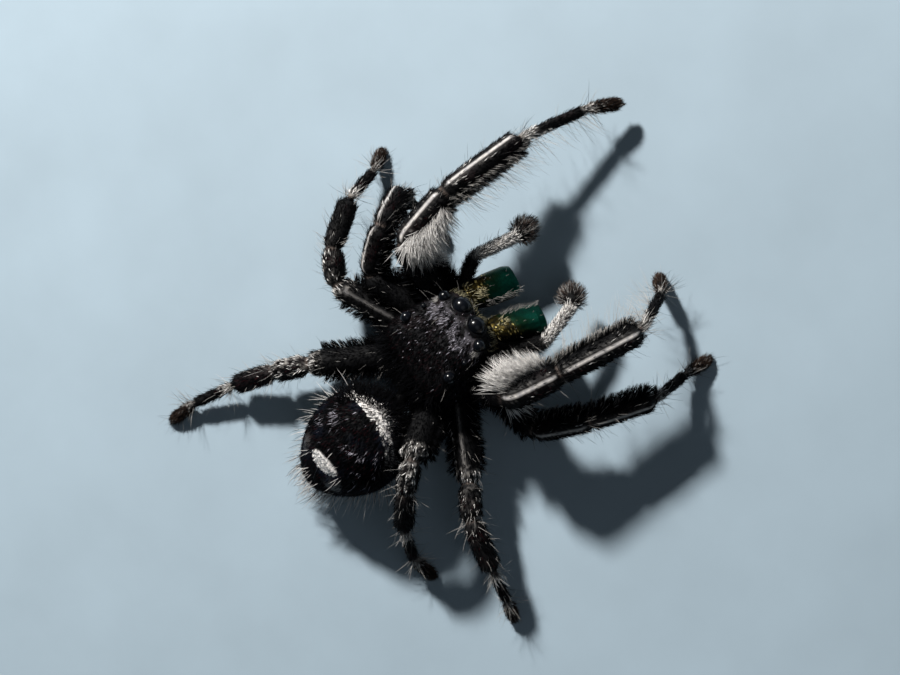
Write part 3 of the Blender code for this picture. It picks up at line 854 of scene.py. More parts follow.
def growCoat(name, sets, shape):
    # one mesh of all the sets of hairs; a blade has so many rings, corners and so much roundness
    rings, corners, flat = shape["blade"]
    tufts = joinTufts(sets)
    root, normal = tufts["root"], tufts["normal"]
    lie = flatTo(tufts["lie"], normal)
    side = np.cross(lie, normal)
    length, width = tufts["length"][:, None], tufts["width"][:, None]
    lift, bend, sway = (tufts[k][:, None] for k in ("lift", "bend", "sway"))
    shares = np.linspace(0, 1, rings + 1)
    spine = root - normal * coatRules["sink"]
    rows, shades = [], []
    base, tip = tufts["tint"], tufts["tipTint"]
    for i, share in enumerate(shares):
        if i:
            at = (shares[i - 1] + share) / 2
            angle = lift + bend * at
            turn = sway * at
            ahead = lie * np.cos(turn) + side * np.sin(turn)
            ahead = ahead * np.cos(angle) + normal * np.sin(angle)
            spine = spine + ahead * length * (share - shares[i - 1])
        shades.append(base + (tip - base) * share)
        if i == rings:
            rows.append(spine[:, None])
            break
        angle = lift + bend * share
        out = normal * np.cos(angle) - lie * np.sin(angle)
        girth = width * (1 - 0.55 * share) if flat == 1.0 else width * (0.45 + 2.2 * share * (1 - share))
        ring = []
        for j in range(corners):
            turn = 2 * math.pi * j / corners
            ring.append(spine + side * math.cos(turn) * girth + out * math.sin(turn) * girth * flat)
        rows.append(np.stack(ring, axis=1))
    points = np.concatenate(rows, axis=1)
    perBlade = points.shape[1]
    if "lock" in tufts:
        along = np.concatenate([np.full(row.shape[1], share) for share, row in zip(shares, rows)])
        points = gatherLocks(points, along, tufts["lock"])
    points, stays = withinHeight(points, root)
    points = points[stays]
    count = len(points)
    faceCorners, sizes, local = bladeFaces(rings, corners)
    loops = (np.arange(count)[:, None] * perBlade + faceCorners[None]).ravel()
    starts = np.concatenate([[0], np.cumsum(np.tile(sizes, count))[:-1]])
    mesh = bpy.data.meshes.new(name)
    mesh.vertices.add(count * perBlade)
    mesh.vertices.foreach_set("co", (points * mm).astype(np.float32).ravel())
    mesh.loops.add(len(loops))
    mesh.loops.foreach_set("vertex_index", loops.astype(np.int32))
    mesh.polygons.add(len(starts))
    mesh.polygons.foreach_set("loop_start", starts.astype(np.int32))
    mesh.update(calc_edges=True)
    mesh.shade_smooth()
    tint = [np.repeat(shade[:, None], row.shape[1], axis=1) for shade, row in zip(shades, rows)]
    setMark(mesh, "tint", np.concatenate(tint, axis=1)[stays].reshape(-1, 3))
    uv = tufts["place"][stays][:, None] + (local[None] - 0.5) * coatRules["patch"]
    layer = mesh.uv_layers.new(name="OFBake")
    layer.data.foreach_set("uv", uv.astype(np.float32).ravel())
    mesh.materials.append(materials[shape["material"]])
    print(f"{name}: {count} blades, {int(sum(sizes - 2)) * count} triangles")
    keep(linked(name, mesh), shape["slot"])


def bladeFaces(rings, corners):
    # corners, sizes and patch places of one blade's faces
    order, sizes, local = [], [], []
    top = rings * corners
    for i in range(rings):
        low, high = i / rings, (i + 1) / rings
        for j in range(corners):
            here, after = i * corners + j, i * corners + (j + 1) % corners
            left, right = j / corners, (j + 1) / corners
            if i < rings - 1:
                order += [here, after, after + corners, here + corners]
                local += [(left, low), (right, low), (right, high), (left, high)]
            else:
                order += [here, after, top]
                local += [(left, low), (right, low), ((j + 0.5) / corners, 1.0)]
            sizes.append(4 if i < rings - 1 else 3)
    order += list(range(corners))[::-1]
    sizes.append(corners)
    angles = 2 * math.pi * np.arange(corners)[::-1] / corners
    local += [(0.5 + 0.4 * math.cos(angle), 0.06 * math.sin(angle)) for angle in angles]
    return np.array(order), np.array(sizes), np.array(local)


def inside(place):
    return np.clip(place, coatRules["margin"], 1 - coatRules["margin"])


def ballSamples(shell, count, rng):
    # even samples over a cast shell
    a, b, c = (shell["points"][shell["triangles"][:, k]] for k in range(3))
    area = np.linalg.norm(np.cross(b - a, c - a), axis=1)
    chosen = rng.choice(len(area), count, p=area / area.sum())
    u, v = rng.random(count), rng.random(count)
    over = u + v > 1
    u[over], v[over] = 1 - u[over], 1 - v[over]
    shares = np.stack([1 - u - v, u, v], axis=1)
    corners = shell["triangles"][chosen]
    root, normal = ((shell[key][corners] * shares[:, :, None]).sum(axis=1) for key in ("points", "normals"))
    local = shell["frame"].local(root)
    return {"root": root, "normal": unit(normal), "local": local,
            "place": rollPlace(local, shell["span"])}


def tubeSamples(tube, count, rng, weight=None):
    # even samples over a tube: roots, normals, tangents and where they lie on it
    grid, normals = tube["grid"], tube["gridNormals"]
    rows, around = grid.shape[:2]
    girth = tube["radius"][:-1] if weight is None else tube["radius"][:-1] * weight[:-1]
    row = rng.choice(rows - 1, count, p=girth / girth.sum())
    u = rng.random(count)
    angle = rng.random(count) * around
    low = angle.astype(int) % around
    high = (low + 1) % around
    v = (angle - angle.astype(int))[:, None]
    u2 = u[:, None]
    near = grid[row, low] * (1 - v) + grid[row, high] * v
    far = grid[row + 1, low] * (1 - v) + grid[row + 1, high] * v
    nearNormal = normals[row, low] * (1 - v) + normals[row, high] * v
    farNormal = normals[row + 1, low] * (1 - v) + normals[row + 1, high] * v
    station = tube["stations"][row] + u * (tube["stations"][1] - tube["stations"][0])
    return {"root": near * (1 - u2) + far * u2, "normal": unit(nearNormal * (1 - u2) + farNormal * u2),
            "tangent": tube["tangents"][row], "row": row, "turn": angle / around * 2 * math.pi,
            "station": station}


def hiddenIn(points, trees, reach=3.0):
    # points that lie inside another shell
    hidden = np.zeros(len(points), bool)
    for tree in trees:
        for k, point in enumerate(points):
            place, normal = tree.find_nearest(Vector(point), reach)[:2]
            if place is not None and (Vector(point) - place).dot(normal) < 0:
                hidden[k] = True
    return hidden


def rollPlace(local, lengths):
    # a place on an unwrap of a ball-shaped skin: angle round its long axis, and how far back
    angle = np.arctan2(local[:, 0], local[:, 2]) / (2 * math.pi) + 0.5
    back = (local[:, 1] - lengths[0]) / (lengths[1] - lengths[0])
    return inside(np.stack([angle, back], axis=1))


def stripPlace(number, strips, gap, turn, along):
    # a place on a tube's own strip of the unwrap
    across = (number + gap + (1 - 2 * gap) * turn) / strips
    return inside(np.stack([across, along], axis=1))


# Materials

def addNode(nodes, kind, **values):
    made = nodes.new(kind)
    for key, value in values.items():
        if key in made.inputs:
            made.inputs[key].default_value = value
        else:
            setattr(made, key, value)
    return made


def noiseNode(nodes, links, size, detail, roughness=0.55):
    # features about size millimetres across
    place = nodes.new("ShaderNodeTexCoord")
    noise = addNode(nodes, "ShaderNodeTexNoise", Scale=1.0 / (size * mm), Detail=detail, Roughness=roughness)
    links.new(place.outputs["Object"], noise.inputs["Vector"])
    return noise


def rampNode(nodes, links, source, stops):
    ramp = nodes.new("ShaderNodeValToRGB")
    while len(ramp.color_ramp.elements) < len(stops):
        ramp.color_ramp.elements.new(0.5)
    for element, (place, colour) in zip(ramp.color_ramp.elements, stops):
        element.position = place
        element.color = (*colour, 1.0)
    links.new(source, ramp.inputs["Fac"])
    return ramp


# Each material: the size in millimetres and the detail of its noise, the colours that the noise runs
# through, whether these multiply the mesh's tint, its bumps (size, detail, height, strength) and its values
looks = {
    "skin": {
        "name": "blackSkin", "noise": (0.16, 4.0), "tinted": True,
        "stops": [(0.25, (0.55, 0.55, 0.60)), (0.75, (1.3, 1.25, 1.2))],
        "bumps": [(0.12, 3.0, 0.006, 0.4), (0.035, 3.0, 0.003, 0.4)],
        "values": {"Specular IOR Level": 0.14},
    },
    "darkHair": {
        "name": "darkHair", "noise": (0.10, 2.0), "tinted": True,
        "stops": [(0.3, (0.75, 0.75, 0.78)), (0.7, (1.15, 1.13, 1.10))],
        "values": {"Roughness": 0.6, "Specular IOR Level": 0.022},
    },
    "paleHair": {
        "name": "paleHair", "noise": (0.10, 2.0), "tinted": True,
        "stops": [(0.3, (0.75, 0.75, 0.78)), (0.7, (1.15, 1.13, 1.10))],
        "values": {"Roughness": 0.5, "Specular IOR Level": 0.35},
    },
    "eye": {
        "name": "eyeGlass", "noise": (0.5, 2.0),
        "stops": [(0.3, (0.0015, 0.002, 0.003)), (0.8, (0.004, 0.005, 0.008))],
        "values": {"Roughness": 0.24, "Specular IOR Level": 0.22, "Coat Weight": 0.16,
                   "Coat Roughness": 0.12},
    },
    "jaw": {
        "name": "greenJaw", "noise": (0.10, 4.0), "tinted": True,
        "stops": [(0.32, (0.62, 0.68, 0.72)), (0.52, (1.0, 1.0, 1.0)), (0.70, (1.35, 1.25, 1.15))],
        "bumps": [(0.045, 4.0, 0.010, 0.7)],
        "values": {"Metallic": 0.9, "Roughness": 0.34},
    },
    "fang": {
        "name": "fangHorn", "noise": (0.2, 3.0),
        "stops": [(0.3, (0.010, 0.004, 0.003)), (0.7, (0.055, 0.014, 0.010))],
        "values": {"Roughness": 0.22},
    },
}
# roughness of the skin, from its least gloss to its highest
glossRange = {"From Min": 0.3, "From Max": 1.0, "To Min": 0.75, "To Max": 0.24}


def multiplyNode(nodes, links, first, second):
    mix = nodes.new("ShaderNodeMix")
    mix.data_type = "RGBA"
    mix.blend_type = "MULTIPLY"
    mix.inputs[0].default_value = 1.0
    links.new(first, mix.inputs[6])
    links.new(second, mix.inputs[7])
    return mix.outputs[2]


def makeMaterial(name, noise, stops, values, tinted=False, bumps=()):
    material = bpy.data.materials.new(name)
    material.use_nodes = True
    nodes, links = material.node_tree.nodes, material.node_tree.links
    shader = nodes["Principled BSDF"]
    if tinted:
        tint = addNode(nodes, "ShaderNodeAttribute", attribute_name="tint")
    cloud = noiseNode(nodes, links, *noise)
    colour = rampNode(nodes, links, cloud.outputs["Fac"], stops).outputs["Color"]
    if tinted:
        colour = multiplyNode(nodes, links, tint.outputs["Color"], colour)
    links.new(colour, shader.inputs["Base Color"])
    under = None
    for size, detail, height, strength in bumps:
        grain = noiseNode(nodes, links, size, detail)
        bump = addNode(nodes, "ShaderNodeBump", Strength=strength, Distance=height * mm)
        links.new(grain.outputs["Fac"], bump.inputs["Height"])
        if under is not None:
            links.new(under, bump.inputs["Normal"])
        under = bump.outputs["Normal"]
    if under is not None:
        links.new(under, shader.inputs["Normal"])
    for key, value in values.items():
        shader.inputs[key].default_value = value
    return material


def followGloss(material):
    # the mesh's gloss sets the roughness
    nodes, links = material.node_tree.nodes, material.node_tree.links
    gloss = addNode(nodes, "ShaderNodeAttribute", attribute_name="gloss")
    rough = nodes.new("ShaderNodeMapRange")
    for key, value in glossRange.items():
        rough.inputs[key].default_value = value
    links.new(gloss.outputs["Fac"], rough.inputs["Value"])
    links.new(rough.outputs["Result"], nodes["Principled BSDF"].inputs["Roughness"])


materials = {key: makeMaterial(**look) for key, look in looks.items()}
followGloss(materials["skin"])

placeCamera()
print("camera placed")

# Skin

headShell = makeHeadShell()
abdomenShell = makeAbdomenShell()
legShells = {(side, pair): makeLegShell(side, pair) for side, pair in legNames}
palpShells = {side: makePalpShell(side) for side in sides}
smallShells = [makeWaist(), *makeSpinnerets()]
fleshNodes = [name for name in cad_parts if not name.startswith(("eye_", "chelicera_", "fang_"))]
skin = fuseSkin([headShell, abdomenShell, *smallShells, *legShells.values(), *palpShells.values()])
skin.data.materials.append(materials["skin"])
keep(skin, "black_coat", *fleshNodes)
print(f"skin: {len(skin.data.vertices)} points, {len(skin.data.polygons)} faces")


# Eyes

eyeShape = {"rings": 48}


def makeEye(key, side):
    eye = eyes[key, side]
    work = bmesh.new()
    bmesh.ops.create_uvsphere(work, u_segments=eyeShape["rings"], v_segments=eyeShape["rings"] // 2,
                              radius=eye["radius"] * mm)
    mesh = bpy.data.meshes.new("eye")
    work.to_mesh(mesh)
    work.free()
    mesh.shade_smooth()
    mesh.transform(Matrix.Translation(eye["centre"] * mm))
    mesh.materials.append(materials["eye"])
    keep(linked("eye" + key[0].upper() + key[1:] + side.capitalize(), mesh), "eye", eye["node"])


for key, side in eyes:
    makeEye(key, side)
print("eyes made")


# Chelicerae and fangs

jawShape = {"rings": 90, "around": 56, "coatDepth": 0.02, "ridges": 30, "ridgeHeight": 0.006, "smoothing": 3}
jawTints = {
    "tip": (0.000, 0.040, 0.027),
    "middle": (0.001, 0.018, 0.008),
    "base": (0.032, 0.023, 0.003),
    "shade": (0.003, 0.003, 0.001),
    "fleck": (0.60, 0.47, 0.16),
    # painted shade on the sides and the back of the jaw
    "side": (0.001, 0.002, 0.003),
    "end": (0.001, 0.002, 0.003),
}


def nodeAxis(name):
    points = nodePoints(name)
    centre = points.mean(axis=0)
    _, axes = np.linalg.eigh(np.cov((points - centre).T))
    axis = axes[:, 2]
    # away from the head
    if axis @ (centre - head.origin) < 0:
        axis = -axis
    return points, centre, axis


def makeJaw(side):
    node = f"chelicera_{side}"
    points, centre, axis = nodeAxis(node)
    run = (points - centre) @ axis
    low, high = run.min(), run.max()
    tree = nodeTree(node)
    rows, around = jawShape["rings"], jawShape["around"]
    front = flatTo(-head.axes[1][None], axis[None])[0]
    across = np.cross(axis, front)
    steps = np.linspace(0, 1, rows)
    angles = 2 * math.pi * np.arange(around) / around
    reach = np.zeros((rows, around))
    line = centre + axis * (low + (high - low) * (0.03 + 0.94 * steps))[:, None]
    for i in range(rows):
        for j, angle in enumerate(angles):
            ray = front * math.cos(angle) + across * math.sin(angle)
            reach[i, j] = tree.ray_cast(Vector(line[i]), Vector(ray))[3] or 0.0
    for turn in range(jawShape["smoothing"]):
        reach = (np.roll(reach, 1, axis=1) + 2 * reach + np.roll(reach, -1, axis=1)) / 4
        reach[1:-1] = (reach[:-2] + 2 * reach[1:-1] + reach[2:]) / 4
    reach -= jawShape["coatDepth"]
    closing = np.sqrt(np.clip(1 - smoothStep(steps, 0.955, 1.012) ** 2, 0.02, 1))[:, None]
    ridge = np.sin(steps * jawShape["ridges"] * 2 * math.pi)[:, None]
    ridge = ridge * np.clip(np.cos(angles), 0, 1)[None] * smoothStep(steps, 0.1, 0.3)[:, None]
    reach = reach * closing + jawShape["ridgeHeight"] * ridge * closing
    rays = front[None, :] * np.cos(angles)[:, None] + across[None, :] * np.sin(angles)[:, None]
    grid = line[:, None] + rays[None] * reach[:, :, None]
    faces = []
    for i in range(rows - 1):
        for j in range(around):
            k = (j + 1) % around
            faces.append((i * around + j, i * around + k, (i + 1) * around + k, (i + 1) * around + j))
    faces.append(tuple(range(around))[::-1])
    faces.append(tuple((rows - 1) * around + j for j in range(around)))
    flat = grid.reshape(-1, 3)
    piece = makeObject("chelicera" + side.capitalize(), flat, faces)
    turnOutward(piece.data)
    share = np.repeat(steps, around)
    fronted = np.tile(np.cos(angles), rows)
    patches = ripple(flat, 0.35, 41)
    # the sheen runs from gold at the base and the outer side to teal at the inner side and the end
    inward = flatTo(-head.axes[0][None] * sides[side], axis[None])[0]
    inner = np.tile(np.cos(angles) * (front @ inward) + np.sin(angles) * (across @ inward), rows)
    sheen = share + 0.16 * inner + 0.07 * patches
    flecks = ripple(flat, 0.15, 42) + 0.6 * ripple(flat, 0.08, 43)
    shares = {
        "shade": 0.92 * smoothStep(flecks, -0.6, 0.1),
        "fleck": smoothStep(flecks, 0.85, 1.25),
        "middle": smoothStep(sheen, 0.28, 0.52),
        "tip": smoothStep(sheen, 0.50, 0.80),
        # the sides and the back fade to near black: painted shade
        "side": 1 - smoothStep(fronted - 0.20 * np.maximum(-inner, 0), -0.30, 0.50),
        "end": 0.9 * smoothStep(share, 0.955, 0.985),
    }
    tint = layered(allOf(jawTints["base"], len(flat)),
                   *((np.array(jawTints[name]), amount) for name, amount in shares.items()))
    setMark(piece.data, "tint", tint)
    piece.data.materials.append(materials["jaw"])
    keep(piece, "green_jaw", node)
    return {"grid": grid, "line": line, "axis": axis, "shares": steps, "fronted": np.cos(angles),
            "inner": inner[:around]}


fangShape = {"radius": 0.12, "taper": 0.86, "curve": 0.10}


def makeFang(side):
    node = f"fang_{side}"
    jaw = nodeMiddle(f"chelicera_{side}")
    points, centre, axis = nodeAxis(node)
    run = (points - centre) @ axis
    ends = [points[np.argsort(run)[:5]], points[np.argsort(run)[-5:]]]
    spans = [np.ptp(end, axis=0).max() for end in ends]
    thick, thin = (0, 1) if spans[0] > spans[1] else (1, 0)
    start, tip = ends[thick].mean(axis=0), ends[thin].mean(axis=0)
    steps = np.linspace(0, 1, 26)
    aim = tip - start
    droop = flatTo((head.world(np.zeros(3)) - jaw)[None], unit(aim)[None])[0]
    line = start + aim * steps[:, None] - droop * (fangShape["curve"] * np.sin(math.pi * steps))[:, None]
    tube = roundTube(line, fangShape["radius"] * (1 - fangShape["taper"] * steps**1.2), 18)
    piece = makeObject("fang" + side.capitalize(), tube["points"], tube["faces"])
    piece.data.materials.append(materials["fang"])
    keep(piece, "fang", node)


jaws = {side: makeJaw(side) for side in sides}
for side in sides:
    makeFang(side)
print("chelicerae and fangs made")


# Coat: the shape of each kind of hair is a dictionary
# turn and sway are spreads and lift and bend are ranges, in degrees; lengths and widths are in millimetres

def drawn(rng, value, count, kind=None):
    # a pair is a range to draw from, a list holds one value for each kind, and anything else is kept
    if isinstance(value, list):
        return np.choose(kind, [drawn(rng, each, count) for each in value])
    return rng.uniform(*value, count) if isinstance(value, tuple) else value + np.zeros(count)


def jitterLie(lie, normals, spread, rng):
    # turned a little about the normal
    angle = np.radians(rng.normal(0, spread, len(normals)))[:, None]
    lie = flatTo(lie, normals)
    return lie * np.cos(angle) + np.cross(normals, lie) * np.sin(angle)


def hairs(rng, found, shape, lie, tint, tipTint=None, kind=None, longer=1.0, steeper=1.0, raised=0.0):
    # hairs of one shape at the samples found
    count = len(found["root"])
    tips = tint if tipTint is None else tipTint
    made = {"root": found["root"], "normal": found["normal"], "place": found["place"],
            "tint": np.broadcast_to(tint, (count, 3)), "tipTint": np.broadcast_to(tips, (count, 3))}
    made["lie"] = jitterLie(lie, found["normal"], shape["turn"], rng)
    made["length"] = drawn(rng, shape["length"], count, kind) * longer
    made["width"] = drawn(rng, shape["width"], count, kind)
    made["lift"] = np.radians(drawn(rng, shape["lift"], count, kind) * steeper + raised)
    made["bend"] = np.radians(drawn(rng, shape["bend"], count))
    made["sway"] = np.radians(rng.normal(0, shape["sway"], count))
    if "locks" in shape:
        made["lock"] = locksOf(found["root"], shape["locks"], rng)
    return made


def dyed(tint, isDyed, colour):
    # the chosen hairs take another colour
    return np.where(isDyed[:, None], colour, tint)


def firstOf(found, mask, count):
    return pick(found, np.flatnonzero(mask)[:count])


def fromEyes(points):
    # how far the points are from the nearest lens, in its own radii
    away = [np.linalg.norm(points - eye["centre"], axis=1) / eye["radius"] for eye in eyes.values()]
    return np.minimum.reduce(away)


# Coat of the head

headCoat = {"seed": 101, "blade": (2, 3, 0.45), "slot": "black_coat", "material": "darkHair",
            "samples": 14200, "turn": 16, "length": (0.15, 0.28), "width": 0.014, "lift": (10, 28),
            "bend": (-12, 6), "sway": 10, "eyeClearance": 1.06, "paleShare": 0.014, "maroonShare": 0.12}
headBristles = {"seed": 102, "blade": (3, 3, 1.0), "slot": "black_coat", "material": "darkHair",
                "samples": 1260, "turn": 40, "length": (0.35, 0.75), "width": 0.010, "lift": (45, 80),
                "bend": (-30, -5), "sway": 14, "eyeClearance": 1.25, "paleShare": 0.15}
# the kinds of face hair are the tuft and the low hair
faceHair = {"seed": 103, "blade": (3, 3, 1.0), "slot": "white_hair", "material": "paleHair",
            "samples": 60000, "turn": 18, "length": [(0.16, 0.30), (0.22, 0.42)], "width": 0.010,
            "lift": [30, (15, 45)], "bend": (-30, 0), "sway": 12, "low": 420,
            "tuft": {"left": 150, "right": 60}, "tuftReach": 0.17}
# the kinds of jaw hair are the clump at the base, the inner margin and a few all over
jawHair = {"seed": 330, "blade": (3, 3, 1.0), "slot": "white_hair", "material": "paleHair",
           "samples": 60000, "turn": 25, "length": [(0.12, 0.26), (0.16, 0.32), (0.10, 0.22)],
           "width": [0.009, 0.006, 0.006], "lift": (25, 60), "bend": (-30, 5), "sway": 16,
           "clump": {"left": 70, "right": 26}, "margin": 100, "sparse": 14}


def coatHead():
    rng = np.random.default_rng(headCoat["seed"])
    found = ballSamples(headShell, headCoat["samples"], rng)
    _, y, z = found["local"].T
    near = fromEyes(found["root"])
    free = (near > headCoat["eyeClearance"]) & ~((y < -1.7) & (z < 0.35))
    found, near = pick(found, free), near[free]
    lilac = headMarks(found["local"])
    count = len(near)
    # the coat lies back from the face, and down the flanks
    lie = head.axes[1] - head.axes[2] * smoothStep(1.2 - found["local"][:, 2:], 0, 1) * 0.8
    isPale = rng.random(count) < headCoat["paleShare"] + 0.95 * lilac ** 1.3
    black = np.tile(tones["black"], (count, 1))
    tint = blendTone(black, tones["maroon"], (rng.random(count) < headCoat["maroonShare"]) * 0.6)
    tint = dyed(tint, isPale, tones["lilac"] * rng.uniform(0.8, 2.2, (count, 1)))
    made = hairs(rng, found, headCoat, lie, tint, dyed(tint, isPale, tint * 1.15),
                 longer=0.55 + 0.45 * smoothStep(near, 1.1, 2.2), steeper=np.where(isPale, 0.6, 1.0))
    made["width"] = made["width"] * np.where(isPale, 1.35, 1.0)
    growCoat("headCoat", [made], headCoat)


def bristleHead():
    # upright dark bristles over the head, thickest by the eyes
    rng = np.random.default_rng(headBristles["seed"])
    found = ballSamples(headShell, headBristles["samples"], rng)
    near = fromEyes(found["root"])
    free = (near > headBristles["eyeClearance"]) & (found["local"][:, 2] > 0.2)
    free &= rng.random(len(near)) < 0.15 + 0.5 * (near < 2.4)
    found = pick(found, free)
    isPale = rng.random(free.sum()) < headBristles["paleShare"]
    tint = dyed(tones["black"], isPale, tones["pale"] * 0.5)
    made = hairs(rng, found, headBristles, head.axes[1], tint, tint * 1.3)
    growCoat("headBristles", [made], headBristles)


def coatFace():
    # pale hair low on the face, and a small soft tuft behind each front side eye
    rng = np.random.default_rng(faceHair["seed"])
    found = ballSamples(headShell, faceHair["samples"], rng)
    x, y, z = found["local"].T
    free = fromEyes(found["root"]) > headCoat["eyeClearance"]
    lowFace = free & (y < -1.55) & (z < 0.72) & (z > -0.15) & (np.abs(x) < 1.35)
    chosen = [np.flatnonzero(lowFace)[: faceHair["low"]]]
    for side, sign in sides.items():
        middle = eyes["frontSide", side]["centre"] + head.axes[1] * 0.20 + head.axes[0] * 0.16 * sign
        near = free & (np.linalg.norm(found["root"] - middle, axis=1) < faceHair["tuftReach"])
        chosen.append(np.flatnonzero(near)[: faceHair["tuft"][side]])
    isTuft = np.arange(sum(map(len, chosen))) >= len(chosen[0])
    count = len(isTuft)
    lie = dyed(-head.axes[2] - head.axes[1] * 0.6, isTuft, head.axes[1] + head.axes[2] * 0.2)
    tint = dyed(tones["cream"] * 0.5, isTuft, tones["pale"] * 1.1) * rng.uniform(0.3, 1.0, (count, 1))
    made = hairs(rng, pick(found, np.concatenate(chosen)), faceHair, lie, tint, kind=np.where(isTuft, 0, 1))
    growCoat("faceHair", [made], faceHair)


def coatJaws():
    # a cream clump at the base of each chelicera, pale hairs along its inner edge and a few all over
    sets = []
    for number, side in enumerate(sides):
        rng = np.random.default_rng(jawHair["seed"] + number)
        jaw = jaws[side]
        rows, around = jaw["grid"].shape[:2]
        samples = jawHair["samples"]
        row, column = rng.integers(2, rows - 2, samples), rng.integers(0, around, samples)
        share, fronted, inner = jaw["shares"][row], jaw["fronted"][column], jaw["inner"][column]
        clump = (share > 0.14) & (share < 0.34) & (fronted > 0.0) & (inner > 0.0) & (inner < 0.75)
        clump |= (share < 0.14) & (fronted > 0.0) & (rng.random(samples) < 0.3)
        margin = (inner > 0.80) & (inner < 0.97) & (share > 0.25) & (fronted > -0.1)
        sparse = (fronted > 0.0) & (share > 0.3)
        wanted = ((clump, jawHair["clump"][side]), (margin, jawHair["margin"]), (sparse, jawHair["sparse"]))
        chosen = [np.flatnonzero(mask)[:most] for mask, most in wanted]
        kind = np.repeat([0, 1, 2], [len(each) for each in chosen])
        chosen = np.concatenate(chosen)
        row, column = row[chosen], column[chosen]
        root = jaw["grid"][row, column]
        tint = dyed(tones["pale"], kind == 0, tones["cream"]) * rng.uniform(0.4, 1.0, (len(kind), 1))
        found = {"root": root, "normal": unit(root - jaw["line"][row]),
                 "place": stripPlace(number, 2, 0.05, column / around, share[chosen])}
        shape = {**jawHair, "length": drawn(rng, jawHair["length"], len(kind), kind)}
        sets.append(hairs(rng, found, shape, jaw["axis"], tint, kind=kind))
    growCoat("jawHair", sets, jawHair)


coatHead()
bristleHead()
coatFace()
coatJaws()
print("head coat made")


# Coat of the abdomen

abdomenCoat = {"seed": 111, "blade": (2, 3, 0.45), "slot": "abdomen_coat", "material": "darkHair",
               "samples": 17200, "turn": 15, "length": (0.20, 0.36), "width": 0.015, "lift": (8, 24),
               "bend": (-12, 8), "sway": 10, "maroonShare": 0.10, "greyShare": 0.55, "greyWidth": 1.3,
               "spared": {"bare": 0.9, "band": 0.85}}
abdomenWhite = {"seed": 112, "blade": (2, 4, 0.35), "slot": "white_hair", "material": "paleHair",
                "samples": 70000, "blades": 2600, "turn": 26, "length": (0.12, 0.22), "width": (0.015, 0.024),
                "lift": (6, 22), "bend": (-20, 5), "sway": 12, "locks": 300, "bandShare": 0.6}
abdomenBristles = {"seed": 113, "blade": (4, 3, 1.0), "slot": "abdomen_coat", "material": "paleHair",
                   "samples": 9000, "blades": 950, "turn": 18, "length": (0.40, 0.95), "width": 0.0105,
                   "lift": (28, 55), "bend": (-35, -5), "sway": 16, "paleShare": 0.75}


def coatAbdomen():
    rng = np.random.default_rng(abdomenCoat["seed"])
    found = ballSamples(abdomenShell, abdomenCoat["samples"], rng)
    local, count = found["local"], len(found["root"])
    band, spot, grey, bare = abdomenMarks(local)
    free = rng.random(count) > abdomenCoat["spared"]["bare"] * bare
    free &= rng.random(count) > np.maximum(abdomenCoat["spared"]["band"] * band, spot)
    # none that would lie over the spot
    free &= abdomenMarks(local + (0, 0.22, 0))[1] < 0.3
    found, grey = pick(found, free), grey[free]
    local, count = found["local"], len(grey)
    isGrey = rng.random(count) < abdomenCoat["greyShare"] * grey
    isMaroon = rng.random(count) < abdomenCoat["maroonShare"]
    # black hair with patches of painted blue sheen, some hairs maroon
    tint = blendTone(paintedBlueSheen(local), tones["maroon"], isMaroon * 0.8)
    tint = dyed(tint, isGrey, tones["lilac"] * rng.uniform(0.8, 2.6, (count, 1)))
    lie = abdomen.axes[1] - abdomen.axes[2] * 0.25 * (local[:, 2:] < 0.6)
    made = hairs(rng, found, abdomenCoat, lie, tint, tint * 1.4)
    made["width"] = made["width"] * np.where(isGrey, abdomenCoat["greyWidth"], 1.0)
    growCoat("abdomenCoat", [made], abdomenCoat)


def coatAbdomenWhite():
    # broad white scales of the front band and of the spot
    rng = np.random.default_rng(abdomenWhite["seed"])
    found = ballSamples(abdomenShell, abdomenWhite["samples"], rng)
    band, spot = abdomenMarks(found["local"])[:2]
    isWhite = rng.random(len(band)) < np.maximum(abdomenWhite["bandShare"] * band, spot)
    found = firstOf(found, isWhite, abdomenWhite["blades"])
    tint = tones["white"] * rng.uniform(0.85, 1.15, (len(found["root"]), 1))
    made = hairs(rng, found, abdomenWhite, abdomen.axes[1], tint)
    growCoat("abdomenWhite", [made], abdomenWhite)


def bristleAbdomen():
    # long pale bristles, most of them round the rear and the edges
    rng = np.random.default_rng(abdomenBristles["seed"])
    found = ballSamples(abdomenShell, abdomenBristles["samples"], rng)
    _, y, z = found["local"].T
    chance = 0.008 + 0.25 * smoothStep(y, 1.0, 2.2) + 0.20 * smoothStep(-z, -0.4, 0.4)
    isChosen = rng.random(len(y)) < chance * smoothStep(y, -1.3, 0.0)
    found = firstOf(found, isChosen, abdomenBristles["blades"])
    count = len(found["root"])
    low = found["local"][:, 2] < 0.5
    isPale = rng.random(count) < abdomenBristles["paleShare"]
    tint = dyed(tones["black"] * 2, isPale, tones["white"] * 0.8) * rng.uniform(0.6, 1.2, (count, 1))
    made = hairs(rng, found, abdomenBristles, abdomen.axes[1], tint, tint * 1.1,
                 longer=1 + 0.35 * low, raised=22 * low)
    growCoat("abdomenBristles", [made], abdomenBristles)


coatAbdomen()
coatAbdomenWhite()
bristleAbdomen()
print("abdomen coat made")


# Coat of the legs

legCoat = {"seed": 120, "blade": (2, 3, 0.6), "slot": "black_coat", "material": "darkHair",
           "samples": {1: 7300, 2: 5700, 3: 5300, 4: 5300}, "turn": 14, "length": (0.15, 0.30),
           "width": 0.012, "lift": (14, 36), "bend": (-22, 4), "sway": 12, "whiteShare": 0.85,
           "whiteWidth": 1.6, "maroonShare": 0.14, "paleShare": 0.016, "thighPaleShare": 0.005,
           "bareSpared": 0.93, "tarsusLength": 0.75}
